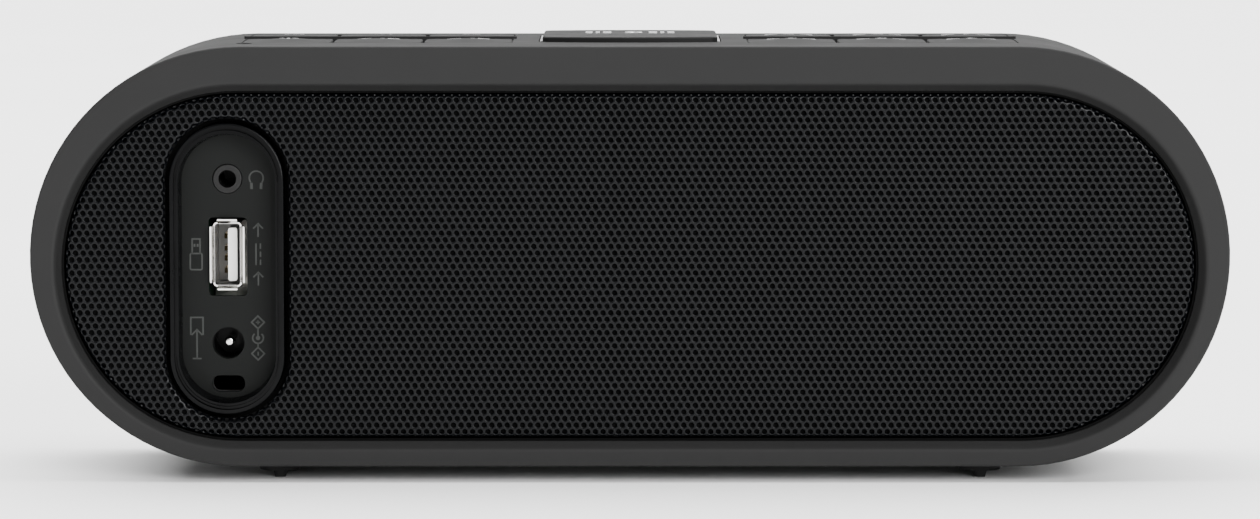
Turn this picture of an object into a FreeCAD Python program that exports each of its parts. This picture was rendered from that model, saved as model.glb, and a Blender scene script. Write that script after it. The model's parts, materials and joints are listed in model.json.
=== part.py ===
# Tabletop radio: a stadium-shaped cabinet in a soft sleeve, with a perforated grille on
# each face, a port panel in the rear grille, two banks of keys and a snooze bar on top.
# Millimetres. X is the width, Y the depth with the front at -Y, Z is up from the table.
import FreeCAD, Part
import math
import os

from FreeCAD import Vector

# ---------------------------------------------------------------- driving dimensions
WIDTH = 242.0
HEIGHT = 85.0
DEPTH = 56.0
FOOT_HEIGHT = 3.3

# used everywhere
FIT = 0.1                               # clearance of parts that go together
TOUCH = 0.05                            # the thin gap of parts that lie against each other
ROOT = 0.5                              # how far a boss or a rib grows into what carries it
PAST = 2.0                              # how far a cutter runs past the surface that it cuts
NEAR = 0.01                             # tolerance when edges are picked by place

END_RADIUS = HEIGHT / 2
END_X = WIDTH / 2 - END_RADIUS          # where the straight top meets the round ends
BODY_Z = FOOT_HEIGHT + END_RADIUS       # centre height of the sleeve
TOP_Z = FOOT_HEIGHT + HEIGHT
FACE_Y = DEPTH / 2

# sleeve
SLEEVE_WALL = 2.4
SLEEVE_EDGE = 0.5                       # rounding where a face meets the outside
LIP_DEPTH = 2.6                         # thickness of each face lip along Y
OPENING_RADIUS = 35.5
OPENING_X = 79.3
OPENING_Z = BODY_Z - 2.0                # the bezel is thicker at the top
SLOPE_WIDTH = 1.4                       # sloped edge of each opening
SLOPE_DEPTH = 1.6
SLOPE_ROUNDING = 1.5

# cabinet
CABINET_RADIUS = END_RADIUS - SLEEVE_WALL - FIT
CABINET_WALL = 2.0
CABINET_END = FACE_Y - LIP_DEPTH - FIT
BAFFLE_OUT = 22.0                       # distance of the baffle's outer face from the centre
BAFFLE_IN = 19.5
SEAT_GAP = 0.25
COLUMN_RADIUS = 3.5
SCREW_PLACES = [(40.0, BODY_Z + 29.0), (40.0, BODY_Z - 31.0), (111.0, BODY_Z)]
SCREW_SEAT_Y = 6.0                      # where the heads of the case screws sit
SCREW_REACH = 12.0                      # how far the screws go into the front half
SCREW_HEAD = 2.5
SCREW_HEAD_HEIGHT = 2.2
SCREW_RECESS = 1.0
SCREW_SHANK = 1.45
SCREW_PILOT = 1.5
SCREW_CLEAR = 1.6
SCREW_WELL = 2.6

# grilles
GRILLE_GAP = 0.7
GRILLE_RADIUS = OPENING_RADIUS - GRILLE_GAP
GRILLE_FACE = 26.0
GRILLE_SHEET = 0.8
GRILLE_EDGE = 0.6
CLOTH_SHEET = 0.3

# port recess in the rear
PORT_X = 81.4
PORT_Z = OPENING_Z - 0.55
PORT_RADIUS = 11.55
PORT_HALF = 17.95                       # half of the straight part, along Z
PORT_FACE = 26.5
PORT_CLEAR = 0.9                        # gap between the surround and the grille
PORT_FIT = 0.15
SURROUND_TAIL = 3.0                     # how far the surround reaches behind the panel
PANEL_FACE = 20.4
PANEL_SHEET = 1.6
PANEL_RADIUS = 9.5
PANEL_HALF = 17.3
PANEL_BACK = PANEL_FACE - PANEL_SHEET
PANEL_TUCK = 0.8                        # width of the panel's edge under the surround
PANEL_REACH = 0.25                      # the same, more at its two ends
SOCKET_X = PORT_X + 0.2
PHONES_Z = PORT_Z + 17.85
USB_Z = PORT_Z + 2.5
DC_Z = PORT_Z - 15.6
LOCK_Z = PORT_Z - 23.9
JACK_BARREL = 2.95
JACK_BORE = 1.8
USB_X = SOCKET_X + 0.05
USB_ROOM_Z = USB_Z - 0.5                 # the hole in the panel is a little off the shell
USB_ROOM_HALF_X = 3.9
USB_ROOM_HALF_Z = 8.0
USB_MOUTH = PANEL_FACE + 0.5
USB_BACK = 7.7
USB_HALF_X = 2.86
USB_HALF_Z = 6.55
USB_WALL = 0.3
USB_CORNER = 0.8
USB_LIP = 0.65                          # how far the lips flare out
TONGUE_ROOT = 11.0
TONGUE_SUNK = 2.2
TONGUE_WIDTH = 10.8
TONGUE_Z = USB_Z - 0.2
TONGUE_X0 = USB_X - USB_HALF_X + USB_WALL + 0.75
TONGUE_X1 = TONGUE_X0 + 1.84
TONGUE_CORNER = 0.5
CONTACT_HALF = 0.5
CONTACT_SHEET = 0.75
CONTACT_SHORT = 0.6                     # how far the contacts end behind the tongue's edge
CONTACT_PLACES = (-3.5, -1.0, 1.0, 3.5)
DC_HOLE = 3.25
DC_BORE = 3.15
DC_PIN = 1.0
DC_PIN_SUNK = 2.2
DC_PIN_TAIL = 6.2
DC_PIN_ROUNDING = 0.6
LOCK_WIDTH = 6.6
LOCK_HEIGHT = 3.35
LOCK_CORNER = 1.5

# keys
KEY_PITCH = 18.5
KEY_WIDTH = 17.9                        # the rest of the pitch is an open slit
KEY_DEPTH = 16.2
KEY_ROW = 18.0
KEY_CORNER = 0.8
KEY_GAP = 0.15
KEY_CROWN = 0.6
KEY_BANK_X = 51.6
KEY_Y = -4.0                            # the key field sits a little towards the front
KEY_TRAVEL = 0.5
SNOOZE_WIDTH = 35.8
SNOOZE_DEPTH = 31.0
SNOOZE_BOW = 1.8                        # how far its long edges bow outwards
SNOOZE_RISE = 1.1
SNOOZE_LEDGE = 0.5                      # light base that shows at the ends of the dark cap
SNOOZE_GAP = 0.3
SNOOZE_CORNER = 2.0
SNOOZE_ROUNDING = 0.4
SNOOZE_STEM_X = 10.0
SNOOZE_SEAT = TOP_Z - 0.4
STEM_RADIUS = 1.5
STEM_CLEAR = 0.3
FLANGE = 0.5                            # how far a hidden flange reaches under the sleeve
FLANGE_TOP = TOP_Z - SLEEVE_WALL - FIT
FLANGE_SHEET = 0.9
FLANGE_INSET = 2.0
POCKET_DEPTH = 5.0
WINDOW_DEPTH = 6.0
DIMPLE_RADIUS = 1.7
DIMPLE_DEPTH = 0.6
DIMPLE_X = 78.4
DIMPLE_Y = 15.5
RIB_WIDTH = 0.9
RIB_HEIGHT = 0.5

# key board stack, heights above the table
BOARD_TOP = TOP_Z - 6.9
BOARD_SHEET = 1.6
KEY_BOARD_X = 77.5
KEY_BOARD_Y = 15.2
DOME_HEIGHT = 0.5
STEM_FOOT = BOARD_TOP + DOME_HEIGHT + KEY_TRAVEL + TOUCH
LEG_OUTER_X = 76.0
LEG_INNER_X = 24.0

# loudspeakers
SPEAKER_X = 66.0
SPEAKER_Z = OPENING_Z
FLANGE_RADIUS = 30.0
FLANGE_WIDTH = 5.5
FLANGE_THICK = 1.5
SPEAKER_BOLTS = 28.2
SPEAKER_SCREW = 1.2
CONE_RADIUS = 21.5
COIL_RADIUS = 6.4
POLE_RADIUS = 6.0
SPEAKER_HOLE = 25.5
PLATE_FRONT = -4.8                      # the magnet system, from its front to its back
PLATE_BACK = -1.8
MAGNET_BACK = 4.2

# passive radiator in the rear baffle
RADIATOR_X = 28.0
RADIATOR_RADIUS = 22.0
RADIATOR_PLATE = 16.5

# display in the front
LENS_WIDTH = 76.0
LENS_HEIGHT = 40.0
LENS_CORNER = 6.0
LENS_FACE = 26.4
LENS_SHEET = 2.0
LENS_CLEAR = 0.4
LENS_ROUNDING = 0.5
TRAY_STEP = 2.0                         # how far the tray and its window stand in from the lens
TRAY_RIM = 5.0
TRAY_BACK = -17.0
GLASS_THICK = 3.5

# feet
FOOT_X = 71.4
FOOT_LENGTH = 44.0
PLINTH_TOP = 9.8
PLINTH_BOTTOM = 8.1
PLINTH_HEIGHT = 1.7
PAD_TOP = 3.0
PAD_BOTTOM = 2.2
PAD_INSET = 2.5
PAD_ROOT = 0.75

# main board
BOARD_Y = -6.0
BOARD_HALF = 35.0
BOARD_HALF_HEIGHT = 28.0
BOARD_HOLE = 1.3
BOARD_SCREW = 0.95
BOARD_SCREW_LENGTH = 8.0
POST_X = 31.0
POST_Z = 25.0
POST_RADIUS = 2.5

# rows from the rear to the front, each from -X to +X
LEFT_KEYS = [["key_preset_4", "key_preset_5", "key_preset_6"],
             ["key_preset_1", "key_preset_2", "key_preset_3"]]
RIGHT_KEYS = [["key_volume_down", "key_volume_up", "key_power"],
              ["key_tune_down", "key_tune_up", "key_menu"]]


# ---------------------------------------------------------------- shape helpers
def stadium_wire(radius, half, y, x=0.0, z=0.0, upright=False):
    """A stadium outline in the XZ plane at depth y. half is half of its straight part."""
    def at(along, across):
        if upright:
            return Vector(x + across, y, z + along)
        return Vector(x + along, y, z + across)
    edges = [
        Part.LineSegment(at(-half, -radius), at(half, -radius)),
        Part.Arc(at(half, -radius), at(half + radius, 0), at(half, radius)),
        Part.LineSegment(at(half, radius), at(-half, radius)),
        Part.Arc(at(-half, radius), at(-half - radius, 0), at(-half, -radius)),
    ]
    return Part.Wire([edge.toShape() for edge in edges])


def stadium(radius, half, y0, y1, x=0.0, z=0.0, upright=False):
    face = Part.Face(stadium_wire(radius, half, y0, x, z, upright))
    return face.extrude(Vector(0, y1 - y0, 0))


def body_stadium(radius, y0, y1):
    return stadium(radius, END_X, y0, y1, 0, BODY_Z)


def opening_stadium(radius, y0, y1):
    return stadium(radius, OPENING_X, y0, y1, 0, OPENING_Z)


def box(x0, x1, y0, y1, z0, z1):
    return Part.makeBox(x1 - x0, y1 - y0, z1 - z0, Vector(x0, y0, z0))


def rounded_box(x0, x1, y0, y1, z0, z1, corner, along="Z"):
    """A box whose four edges along one axis are rounded."""
    shape = box(x0, x1, y0, y1, z0, z1)
    way = {"X": Vector(1, 0, 0), "Y": Vector(0, 1, 0), "Z": Vector(0, 0, 1)}[along]
    edges = [e for e in shape.Edges if abs(e.tangentAt(e.FirstParameter).dot(way)) > 0.9]
    return shape.makeFillet(corner, edges)


def rod_y(radius, x, z, y0, y1):
    return Part.makeCylinder(radius, y1 - y0, Vector(x, y0, z), Vector(0, 1, 0))


def rod_z(radius, x, y, z0, z1):
    return Part.makeCylinder(radius, z1 - z0, Vector(x, y, z0), Vector(0, 0, 1))


def turned_y(profile, x, z):
    """Turns a closed profile of (radius, y) points about an axis along Y."""
    points = [Vector(x + r, y, z) for r, y in profile]
    wire = Part.makePolygon(points + points[:1])
    return Part.Face(wire).revolve(Vector(x, 0, z), Vector(0, 1, 0), 360)


def joined(shapes):
    whole = shapes[0]
    if len(shapes) > 1:
        whole = whole.multiFuse(shapes[1:]).removeSplitter()
    return whole


def mirrored(shape):
    return shape.mirror(Vector(0, 0, 0), Vector(1, 0, 0))


def turned_round(shape):
    """The same shape for the other face: mirrored in the plane between front and rear."""
    return shape.mirror(Vector(0, 0, 0), Vector(0, 1, 0))


def save(name, *solids):
    """Writes one node. Several solids that don't touch make a group in one file."""
    shapes = []
    for solid in solids:
        shapes.extend(solid.Solids)
    whole = shapes[0] if len(shapes) == 1 else Part.makeCompound(shapes)
    bad = [s for s in shapes if not s.isValid() or s.Volume <= 0]
    print(f"{name:20s} {len(shapes)} solids {whole.Volume / 1000:9.3f} cm3 {'BAD' if bad else ''}")
    whole.exportStep(os.path.join("parts", name + ".step"))


# ---------------------------------------------------------------- keys
def key_places():
    """(name, x, y) of every key. Row 0 of a bank is the one nearer the rear."""
    places = []
    for names, centre in ((LEFT_KEYS, -KEY_BANK_X), (RIGHT_KEYS, KEY_BANK_X)):
        for row, row_names in enumerate(names):
            y = KEY_Y + KEY_ROW / 2 - row * KEY_ROW
            for column, name in enumerate(row_names):
                places.append((name, centre + (column - 1) * KEY_PITCH, y))
    return places


def key_block(x, y, z0, z1, grow=0.0):
    w, d = KEY_WIDTH / 2 + grow, KEY_DEPTH / 2 + grow
    return rounded_box(x - w, x + w, y - d, y + d, z0, z1, KEY_CORNER + grow)


def key_cap(x, y):
    """A crowned cap with hidden flanges that stop it from lifting out, and a stem."""
    cap = key_block(x, y, FLANGE_TOP - FLANGE_SHEET, TOP_Z + PAST)
    half = math.hypot(KEY_WIDTH, KEY_DEPTH) / 2
    crown = (half ** 2 + KEY_CROWN ** 2) / (2 * KEY_CROWN)
    ball = Part.makeSphere(crown, Vector(x, y, TOP_Z + KEY_CROWN - crown))
    cap = cap.common(ball)
    w, d = KEY_WIDTH / 2 - FLANGE_INSET, KEY_DEPTH / 2 + FLANGE
    flange = box(x - w, x + w, y - d, y + d, FLANGE_TOP - FLANGE_SHEET, FLANGE_TOP)
    stem = rod_z(STEM_RADIUS, x, y, STEM_FOOT, FLANGE_TOP - ROOT)
    return joined([cap, flange, stem])


def row_pocket(centre, y):
    """The pocket of the sleeve that one row of three keys stands in."""
    w, d = KEY_PITCH + KEY_WIDTH / 2 + KEY_GAP, KEY_DEPTH / 2 + KEY_GAP
    return rounded_box(centre - w, centre + w, y - d, y + d, TOP_Z - POCKET_DEPTH, TOP_Z + PAST,
                       KEY_CORNER + KEY_GAP)


def row_rib(centre):
    """The raised rib with round ends between two rows of keys."""
    half, radius = KEY_PITCH * 1.5, RIB_WIDTH / 2
    z0, z1 = TOP_Z - ROOT, TOP_Z + RIB_HEIGHT
    ends = [rod_z(radius, centre + side * half, KEY_Y, z0, z1) for side in (-1, 1)]
    return joined([box(centre - half, centre + half, KEY_Y - radius, KEY_Y + radius, z0, z1)] + ends)


def snooze_block(z0, z1, grow=0.0):
    """The outline of the snooze bar, whose long edges bow outwards, between two heights."""
    w, d = SNOOZE_WIDTH / 2 + grow, SNOOZE_DEPTH / 2 + grow
    edge = d - SNOOZE_BOW

    def at(x, y):
        return Vector(x, KEY_Y + y, z0)
    edges = [
        Part.Arc(at(-w, edge), at(0, d), at(w, edge)),
        Part.LineSegment(at(w, edge), at(w, -edge)),
        Part.Arc(at(w, -edge), at(0, -d), at(-w, -edge)),
        Part.LineSegment(at(-w, -edge), at(-w, edge)),
    ]
    outline = Part.Wire([edge.toShape() for edge in edges])
    block = Part.Face(outline).extrude(Vector(0, 0, z1 - z0))
    upright = [e for e in block.Edges if e.BoundBox.ZLength > NEAR]
    return block.makeFillet(SNOOZE_CORNER + grow, upright)


def snooze_stems():
    return [(-SNOOZE_STEM_X, KEY_Y), (SNOOZE_STEM_X, KEY_Y)]


def snooze_bar():
    top = TOP_Z + SNOOZE_RISE
    bar = snooze_block(SNOOZE_SEAT, top)
    rim = [e for e in bar.Edges if e.BoundBox.ZMin > top - NEAR]
    return bar.makeFillet(SNOOZE_ROUNDING, rim)


def snooze_ends(z0, z1, grow=0.0):
    """The room of the two narrow ledges at the ends of the snooze bar, right across it."""
    w, d = SNOOZE_WIDTH / 2 + SNOOZE_LEDGE + grow, SNOOZE_DEPTH / 2 - SNOOZE_BOW - SNOOZE_CORNER + grow
    return box(-w, w, KEY_Y - d, KEY_Y + d, z0, z1)


def snooze_base():
    """The light base under the cap: a ledge at each end, a hidden flange and two stems."""
    low = FLANGE_TOP - FLANGE_SHEET
    plate = snooze_block(low, SNOOZE_SEAT)
    ledges = snooze_ends(low, TOP_Z + FIT).cut(snooze_block(SNOOZE_SEAT, TOP_Z + PAST))
    flange = snooze_block(low, FLANGE_TOP, SNOOZE_LEDGE + SNOOZE_GAP + FLANGE)
    stems = [rod_z(STEM_RADIUS, x, y, STEM_FOOT, FLANGE_TOP - ROOT) for x, y in snooze_stems()]
    return joined([plate, ledges, flange] + stems)


# ---------------------------------------------------------------- sleeve
def face_edges(block):
    """The edges that lie in the plane of either face."""
    return [e for e in block.Edges
            if abs(abs(e.BoundBox.YMin) - FACE_Y) < NEAR and e.BoundBox.YLength < NEAR]


def face_opening():
    """The rear opening with its sloped edge. The front one is its mirror image."""
    outer = stadium_wire(OPENING_RADIUS + SLOPE_WIDTH, OPENING_X, FACE_Y, 0, OPENING_Z)
    inner = stadium_wire(OPENING_RADIUS, OPENING_X, FACE_Y - SLOPE_DEPTH, 0, OPENING_Z)
    slope = Part.makeLoft([outer, inner], True, True)
    wall = opening_stadium(OPENING_RADIUS, FACE_Y - LIP_DEPTH - PAST, FACE_Y - SLOPE_DEPTH)
    beyond = opening_stadium(OPENING_RADIUS + SLOPE_WIDTH, FACE_Y, FACE_Y + PAST)
    return joined([slope, wall, beyond])


def sleeve_pockets():
    """What the keys, the snooze bar and the small round dimple take out of the sleeve's top."""
    z0, z1 = TOP_Z - POCKET_DEPTH, TOP_Z + PAST
    rows = [row_pocket(centre, KEY_Y + side * KEY_ROW / 2)
            for centre in (-KEY_BANK_X, KEY_BANK_X) for side in (-1, 1)]
    dimple = rod_z(DIMPLE_RADIUS, DIMPLE_X, DIMPLE_Y, TOP_Z - DIMPLE_DEPTH, z1)
    return rows + [snooze_block(z0, z1, SNOOZE_GAP), snooze_ends(z0, z1, SNOOZE_GAP), dimple]


def outer_sleeve():
    block = body_stadium(END_RADIUS, -FACE_Y, FACE_Y)
    block = block.makeFillet(SLEEVE_EDGE, face_edges(block))
    inside = FACE_Y - LIP_DEPTH
    block = block.cut(body_stadium(END_RADIUS - SLEEVE_WALL, -inside, inside))
    opening = face_opening()
    block = block.cut(opening).cut(turned_round(opening))
    highest = OPENING_Z + OPENING_RADIUS + SLOPE_WIDTH + NEAR
    slopes = [e for e in face_edges(block) if e.BoundBox.ZMax < highest]
    block = block.makeFillet(SLOPE_ROUNDING, slopes)
    for pocket in sleeve_pockets():
        block = block.cut(pocket)
    return joined([block, row_rib(-KEY_BANK_X), row_rib(KEY_BANK_X)] + foot_plinths())


# ---------------------------------------------------------------- cabinet
def key_windows():
    """Room in the cabinet roof for the flanges of the keys and the snooze bar."""
    windows = []
    y0, y1 = KEY_Y - KEY_ROW - FLANGE, KEY_Y + KEY_ROW + FLANGE
    places = [(-KEY_BANK_X, 1.5 * KEY_PITCH + FLANGE), (KEY_BANK_X, 1.5 * KEY_PITCH + FLANGE),
              (0, SNOOZE_WIDTH / 2 + SNOOZE_LEDGE + SNOOZE_GAP + 2 * FLANGE)]
    for centre, half in places:
        windows.append(box(centre - half, centre + half, y0, y1, TOP_Z - WINDOW_DEPTH, TOP_Z))
    return windows


def screw_columns():
    return [(side * x, z) for x, z in SCREW_PLACES for side in (-1, 1)]


def cabinet_tub():
    """Half of the cabinet, with its baffle at +Y and its open edge at the centre plane."""
    tub = body_stadium(CABINET_RADIUS, 0, CABINET_END)
    tub = tub.cut(body_stadium(CABINET_RADIUS - CABINET_WALL, -PAST, BAFFLE_IN))
    tub = tub.cut(opening_stadium(GRILLE_RADIUS + SEAT_GAP, BAFFLE_OUT, CABINET_END + PAST))
    columns = [rod_y(COLUMN_RADIUS, x, z, 0, BAFFLE_IN + ROOT) for x, z in screw_columns()]
    return joined([tub] + columns)


def rear_cabinet():
    tub = cabinet_tub()
    for x, z in screw_columns():
        tub = tub.cut(rod_y(SCREW_WELL, x, z, SCREW_SEAT_Y, BAFFLE_OUT + PAST))
        tub = tub.cut(rod_y(SCREW_CLEAR, x, z, -PAST, SCREW_SEAT_Y + PAST))
    tub = tub.cut(stadium(RADIATOR_RADIUS, RADIATOR_X, 0, FACE_Y, 0, OPENING_Z))
    tub = tub.cut(stadium(PORT_RADIUS + PORT_FIT, PORT_HALF, 0, FACE_Y, PORT_X, PORT_Z, True))
    for window in key_windows():
        tub = tub.cut(window)
    return tub


def front_cabinet():
    tub = turned_round(cabinet_tub())
    for x, z in screw_columns():
        tub = tub.cut(rod_y(SCREW_PILOT, x, z, -SCREW_REACH - 2, PAST))
    for side in (-1, 1):
        tub = tub.cut(rod_y(SPEAKER_HOLE, side * SPEAKER_X, SPEAKER_Z, -FACE_Y, -BAFFLE_IN + PAST))
    w, h = LENS_WIDTH / 2 - TRAY_STEP, LENS_HEIGHT / 2 - TRAY_STEP
    window = rounded_box(-w, w, -FACE_Y, -BAFFLE_IN + PAST, OPENING_Z - h, OPENING_Z + h,
                         LENS_CORNER - TRAY_STEP, "Y")
    tub = tub.cut(window)
    for window in key_windows():
        tub = tub.cut(window)
    posts = [rod_y(POST_RADIUS, x, z, -BAFFLE_IN - ROOT, BOARD_Y) for x, z in board_posts()]
    tub = joined([tub] + posts)
    for x, z in board_posts():
        tub = tub.cut(rod_y(BOARD_SCREW + FIT / 2, x, z, BOARD_Y - BOARD_SCREW_LENGTH, BOARD_Y + PAST))
    return tub


def case_screws():
    """Six screws with a hexagon-key recess, from the rear half into the front half."""
    screws = []
    top = SCREW_SEAT_Y + SCREW_HEAD_HEIGHT
    for x, z in screw_columns():
        head = rod_y(SCREW_HEAD, x, z, SCREW_SEAT_Y, top)
        head = head.cut(rod_y(SCREW_RECESS, x, z, top - SCREW_RECESS, top + PAST))
        screws.append(joined([head, rod_y(SCREW_SHANK, x, z, -SCREW_REACH, SCREW_SEAT_Y + ROOT / 2)]))
    return screws


# ---------------------------------------------------------------- grilles
def grille(cutout):
    """A sheet with a turned-back rim, facing +Y, with the cut-out of one face."""
    sheet = opening_stadium(GRILLE_RADIUS, BAFFLE_OUT + TOUCH, GRILLE_FACE)
    rim = [e for e in sheet.Edges if e.BoundBox.YMin > GRILLE_FACE - NEAR]
    sheet = sheet.makeFillet(GRILLE_EDGE, rim)
    hollow = opening_stadium(GRILLE_RADIUS - GRILLE_SHEET, BAFFLE_OUT - PAST, GRILLE_FACE - GRILLE_SHEET)
    return sheet.cut(hollow).cut(cutout)


def rear_grille():
    return grille(port_cutout())


def grille_cloth(cutout):
    """The black cloth glued behind a grille."""
    y1 = GRILLE_FACE - GRILLE_SHEET - TOUCH
    return opening_stadium(GRILLE_RADIUS - GRILLE_SHEET - FIT, y1 - CLOTH_SHEET, y1).cut(cutout)


def grille_cloths():
    return [grille_cloth(port_cutout()), turned_round(grille_cloth(lens_cutout()))]


def lens_block(y0, y1, grow=0.0):
    w, h = LENS_WIDTH / 2 + grow, LENS_HEIGHT / 2 + grow
    return rounded_box(-w, w, y0, y1, OPENING_Z - h, OPENING_Z + h, LENS_CORNER + grow, "Y")


def front_grille():
    return turned_round(grille(lens_cutout()))


def port_cutout():
    return port_shape(PORT_RADIUS + PORT_CLEAR, PORT_HALF, BAFFLE_IN, FACE_Y)


def lens_cutout():
    return lens_block(BAFFLE_IN, FACE_Y, LENS_CLEAR)


# ---------------------------------------------------------------- rear port group
def port_shape(radius, half, y0, y1):
    return stadium(radius, half, y0, y1, PORT_X, PORT_Z, True)


def port_surround():
    """An oval tube with a grooved face, and a wall that narrows down to the panel."""
    edge, step_width, step_depth = 0.35, 0.4, 0.5
    groove_outer, groove_inner, groove_depth = 0.85, 1.3, 0.9
    tube = port_shape(PORT_RADIUS, PORT_HALF, PANEL_FACE - SURROUND_TAIL, PORT_FACE)
    rim = [e for e in tube.Edges if e.BoundBox.YMin > PORT_FACE - NEAR]
    tube = tube.makeFillet(edge, rim)
    mouth = Part.makeLoft([
        stadium_wire(PANEL_RADIUS + edge, PANEL_HALF + 0.25, PORT_FACE + NEAR, PORT_X, PORT_Z, True),
        stadium_wire(PANEL_RADIUS, PANEL_HALF, PANEL_FACE, PORT_X, PORT_Z, True)], True, True)
    step = port_shape(PANEL_RADIUS + edge + step_width, PANEL_HALF + 0.35, PORT_FACE - step_depth,
                      PORT_FACE + PAST)
    groove = port_shape(PORT_RADIUS - groove_outer, PORT_HALF - 0.05, PORT_FACE - groove_depth,
                        PORT_FACE + PAST)
    island = port_shape(PORT_RADIUS - groove_inner, PORT_HALF - 0.1, PORT_FACE - 2 * groove_depth,
                        PORT_FACE + 2 * PAST)
    seat = port_shape(PANEL_RADIUS + PANEL_TUCK + FIT, PANEL_HALF + 0.3, PANEL_FACE - 4, PANEL_FACE)
    return tube.cut(mouth).cut(step).cut(groove.cut(island)).cut(seat)


def oblong(x, z, width, height, y0, y1, corner):
    w, h = width / 2, height / 2
    return rounded_box(x - w, x + w, y0, y1, z - h, z + h, corner, "Y")


def port_panel():
    panel = port_shape(PANEL_RADIUS + PANEL_TUCK, PANEL_HALF + PANEL_REACH, PANEL_BACK, PANEL_FACE)
    y0, y1 = PANEL_BACK - PAST, PANEL_FACE + PAST
    panel = panel.cut(rod_y(JACK_BARREL + FIT, SOCKET_X, PHONES_Z, y0, y1))
    panel = panel.cut(oblong(SOCKET_X, USB_ROOM_Z, 2 * USB_ROOM_HALF_X, 2 * USB_ROOM_HALF_Z,
                             y0, y1, USB_CORNER + FIT))
    panel = panel.cut(rod_y(DC_HOLE, SOCKET_X, DC_Z, y0, y1))
    return panel.cut(oblong(SOCKET_X, LOCK_Z, LOCK_WIDTH, LOCK_HEIGHT, y0, y1, LOCK_CORNER))


def headphone_jack():
    """A 3.5 mm jack: its body behind the panel and a barrel that stands through it."""
    reach, side, bottom, proud, edge = 4.0, 3.9, 6.0, 0.3, 0.2
    body = box(SOCKET_X - reach, SOCKET_X + side, bottom, PANEL_BACK - TOUCH,
               PHONES_Z - reach, PHONES_Z + reach)
    barrel = rod_y(JACK_BARREL, SOCKET_X, PHONES_Z, PANEL_BACK - 1, PANEL_FACE + proud)
    rim = [e for e in barrel.Edges if e.BoundBox.YMin > PANEL_FACE + proud - NEAR]
    barrel = barrel.makeFillet(edge, rim)
    return joined([body, barrel]).cut(rod_y(JACK_BORE, SOCKET_X, PHONES_Z, bottom + 1, FACE_Y))


def usb_shell():
    """A folded steel shell with four flared lips round its mouth."""
    w, lip_depth, lip_root = USB_WALL, 0.8, 0.05
    x0, x1 = USB_X - USB_HALF_X, USB_X + USB_HALF_X
    z0, z1 = USB_Z - USB_HALF_Z, USB_Z + USB_HALF_Z
    outer = rounded_box(x0, x1, USB_BACK, USB_MOUTH, z0, z1, USB_CORNER, "Y")
    inner = rounded_box(x0 + w, x1 - w, USB_BACK + w, USB_MOUTH + PAST, z0 + w, z1 - w, USB_CORNER - w, "Y")
    lips = []
    y0 = USB_MOUTH - lip_root
    y1 = y0 + lip_depth
    half_long, half_short = USB_HALF_Z - 0.85, USB_HALF_X - 0.86

    def flared(edge, side):
        """The section of one lip, as (y, across) points, at an edge of the mouth."""
        out = side * USB_LIP
        return [(y0, edge), (y1, edge + out), (y1, edge + out - side * w), (y0, edge - side * w)]
    for side in (-1, 1):
        points = flared(USB_Z + side * USB_HALF_Z, side)
        wire = Part.makePolygon([Vector(USB_X - half_short, y, z) for y, z in points + points[:1]])
        lips.append(Part.Face(wire).extrude(Vector(2 * half_short, 0, 0)))
        points = flared(USB_X + side * USB_HALF_X, side)
        wire = Part.makePolygon([Vector(x, y, USB_Z - half_long) for y, x in points + points[:1]])
        lips.append(Part.Face(wire).extrude(Vector(0, 0, 2 * half_long)))
    return joined([outer.cut(inner)] + lips)


def usb_tongue():
    """The white block at the back of the socket, and the tongue that carries the contacts."""
    w = USB_WALL + TOUCH
    block = rounded_box(USB_X - USB_HALF_X + w, USB_X + USB_HALF_X - w, USB_BACK + w, TONGUE_ROOT,
                        USB_Z - USB_HALF_Z + w, USB_Z + USB_HALF_Z - w, 0.4, "Y")
    half = TONGUE_WIDTH / 2
    blade = rounded_box(TONGUE_X0, TONGUE_X1, TONGUE_ROOT - ROOT, USB_MOUTH - TONGUE_SUNK,
                        TONGUE_Z - half, TONGUE_Z + half, TONGUE_CORNER, "Y")
    return joined([block, blade])


def usb_contacts():
    contacts = []
    x0 = TONGUE_X1 + NEAR
    tip = USB_MOUTH - TONGUE_SUNK - CONTACT_SHORT
    for offset in CONTACT_PLACES:
        z = USB_Z + offset
        contacts.append(box(x0, x0 + CONTACT_SHEET, TONGUE_ROOT + TOUCH, tip,
                            z - CONTACT_HALF, z + CONTACT_HALF))
    return contacts


def dc_jack():
    half, side, back, floor = 4.5, 3.9, 7.0, 2.5
    body = box(SOCKET_X - half, SOCKET_X + side, back, PANEL_BACK - TOUCH, DC_Z - half, DC_Z + half)
    body = body.cut(rod_y(DC_BORE, SOCKET_X, DC_Z, back + floor, FACE_Y))
    return body.cut(rod_y(DC_PIN, SOCKET_X, DC_Z, back - PAST, back + floor + PAST))


def dc_pin():
    tip_y = PANEL_FACE - DC_PIN_SUNK
    pin = rod_y(DC_PIN, SOCKET_X, DC_Z, DC_PIN_TAIL, tip_y)
    tip = [e for e in pin.Edges if e.BoundBox.YMin > tip_y - NEAR]
    return pin.makeFillet(DC_PIN_ROUNDING, tip)


def lock_plate():
    """A steel plate behind the lock slot."""
    half, below, above, sheet = 4.9, 2.7, 3.2, 1.5
    y1 = PANEL_BACK - TOUCH
    plate = box(SOCKET_X - half, SOCKET_X + half, y1 - sheet, y1, LOCK_Z - below, LOCK_Z + above)
    return plate.cut(oblong(SOCKET_X, LOCK_Z, LOCK_WIDTH, LOCK_HEIGHT, 0, FACE_Y, LOCK_CORNER))


def port_board():
    x0, front, back, below, above = SOCKET_X + 4.0, 4.5, 17.6, 19.5, 22.0
    return box(x0, x0 + BOARD_SHEET, front, back, PORT_Z - below, PORT_Z + above)


# ---------------------------------------------------------------- top board
def key_board():
    return box(-KEY_BOARD_X, KEY_BOARD_X, KEY_Y - KEY_BOARD_Y, KEY_Y + KEY_BOARD_Y,
               BOARD_TOP - BOARD_SHEET, BOARD_TOP)


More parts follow.
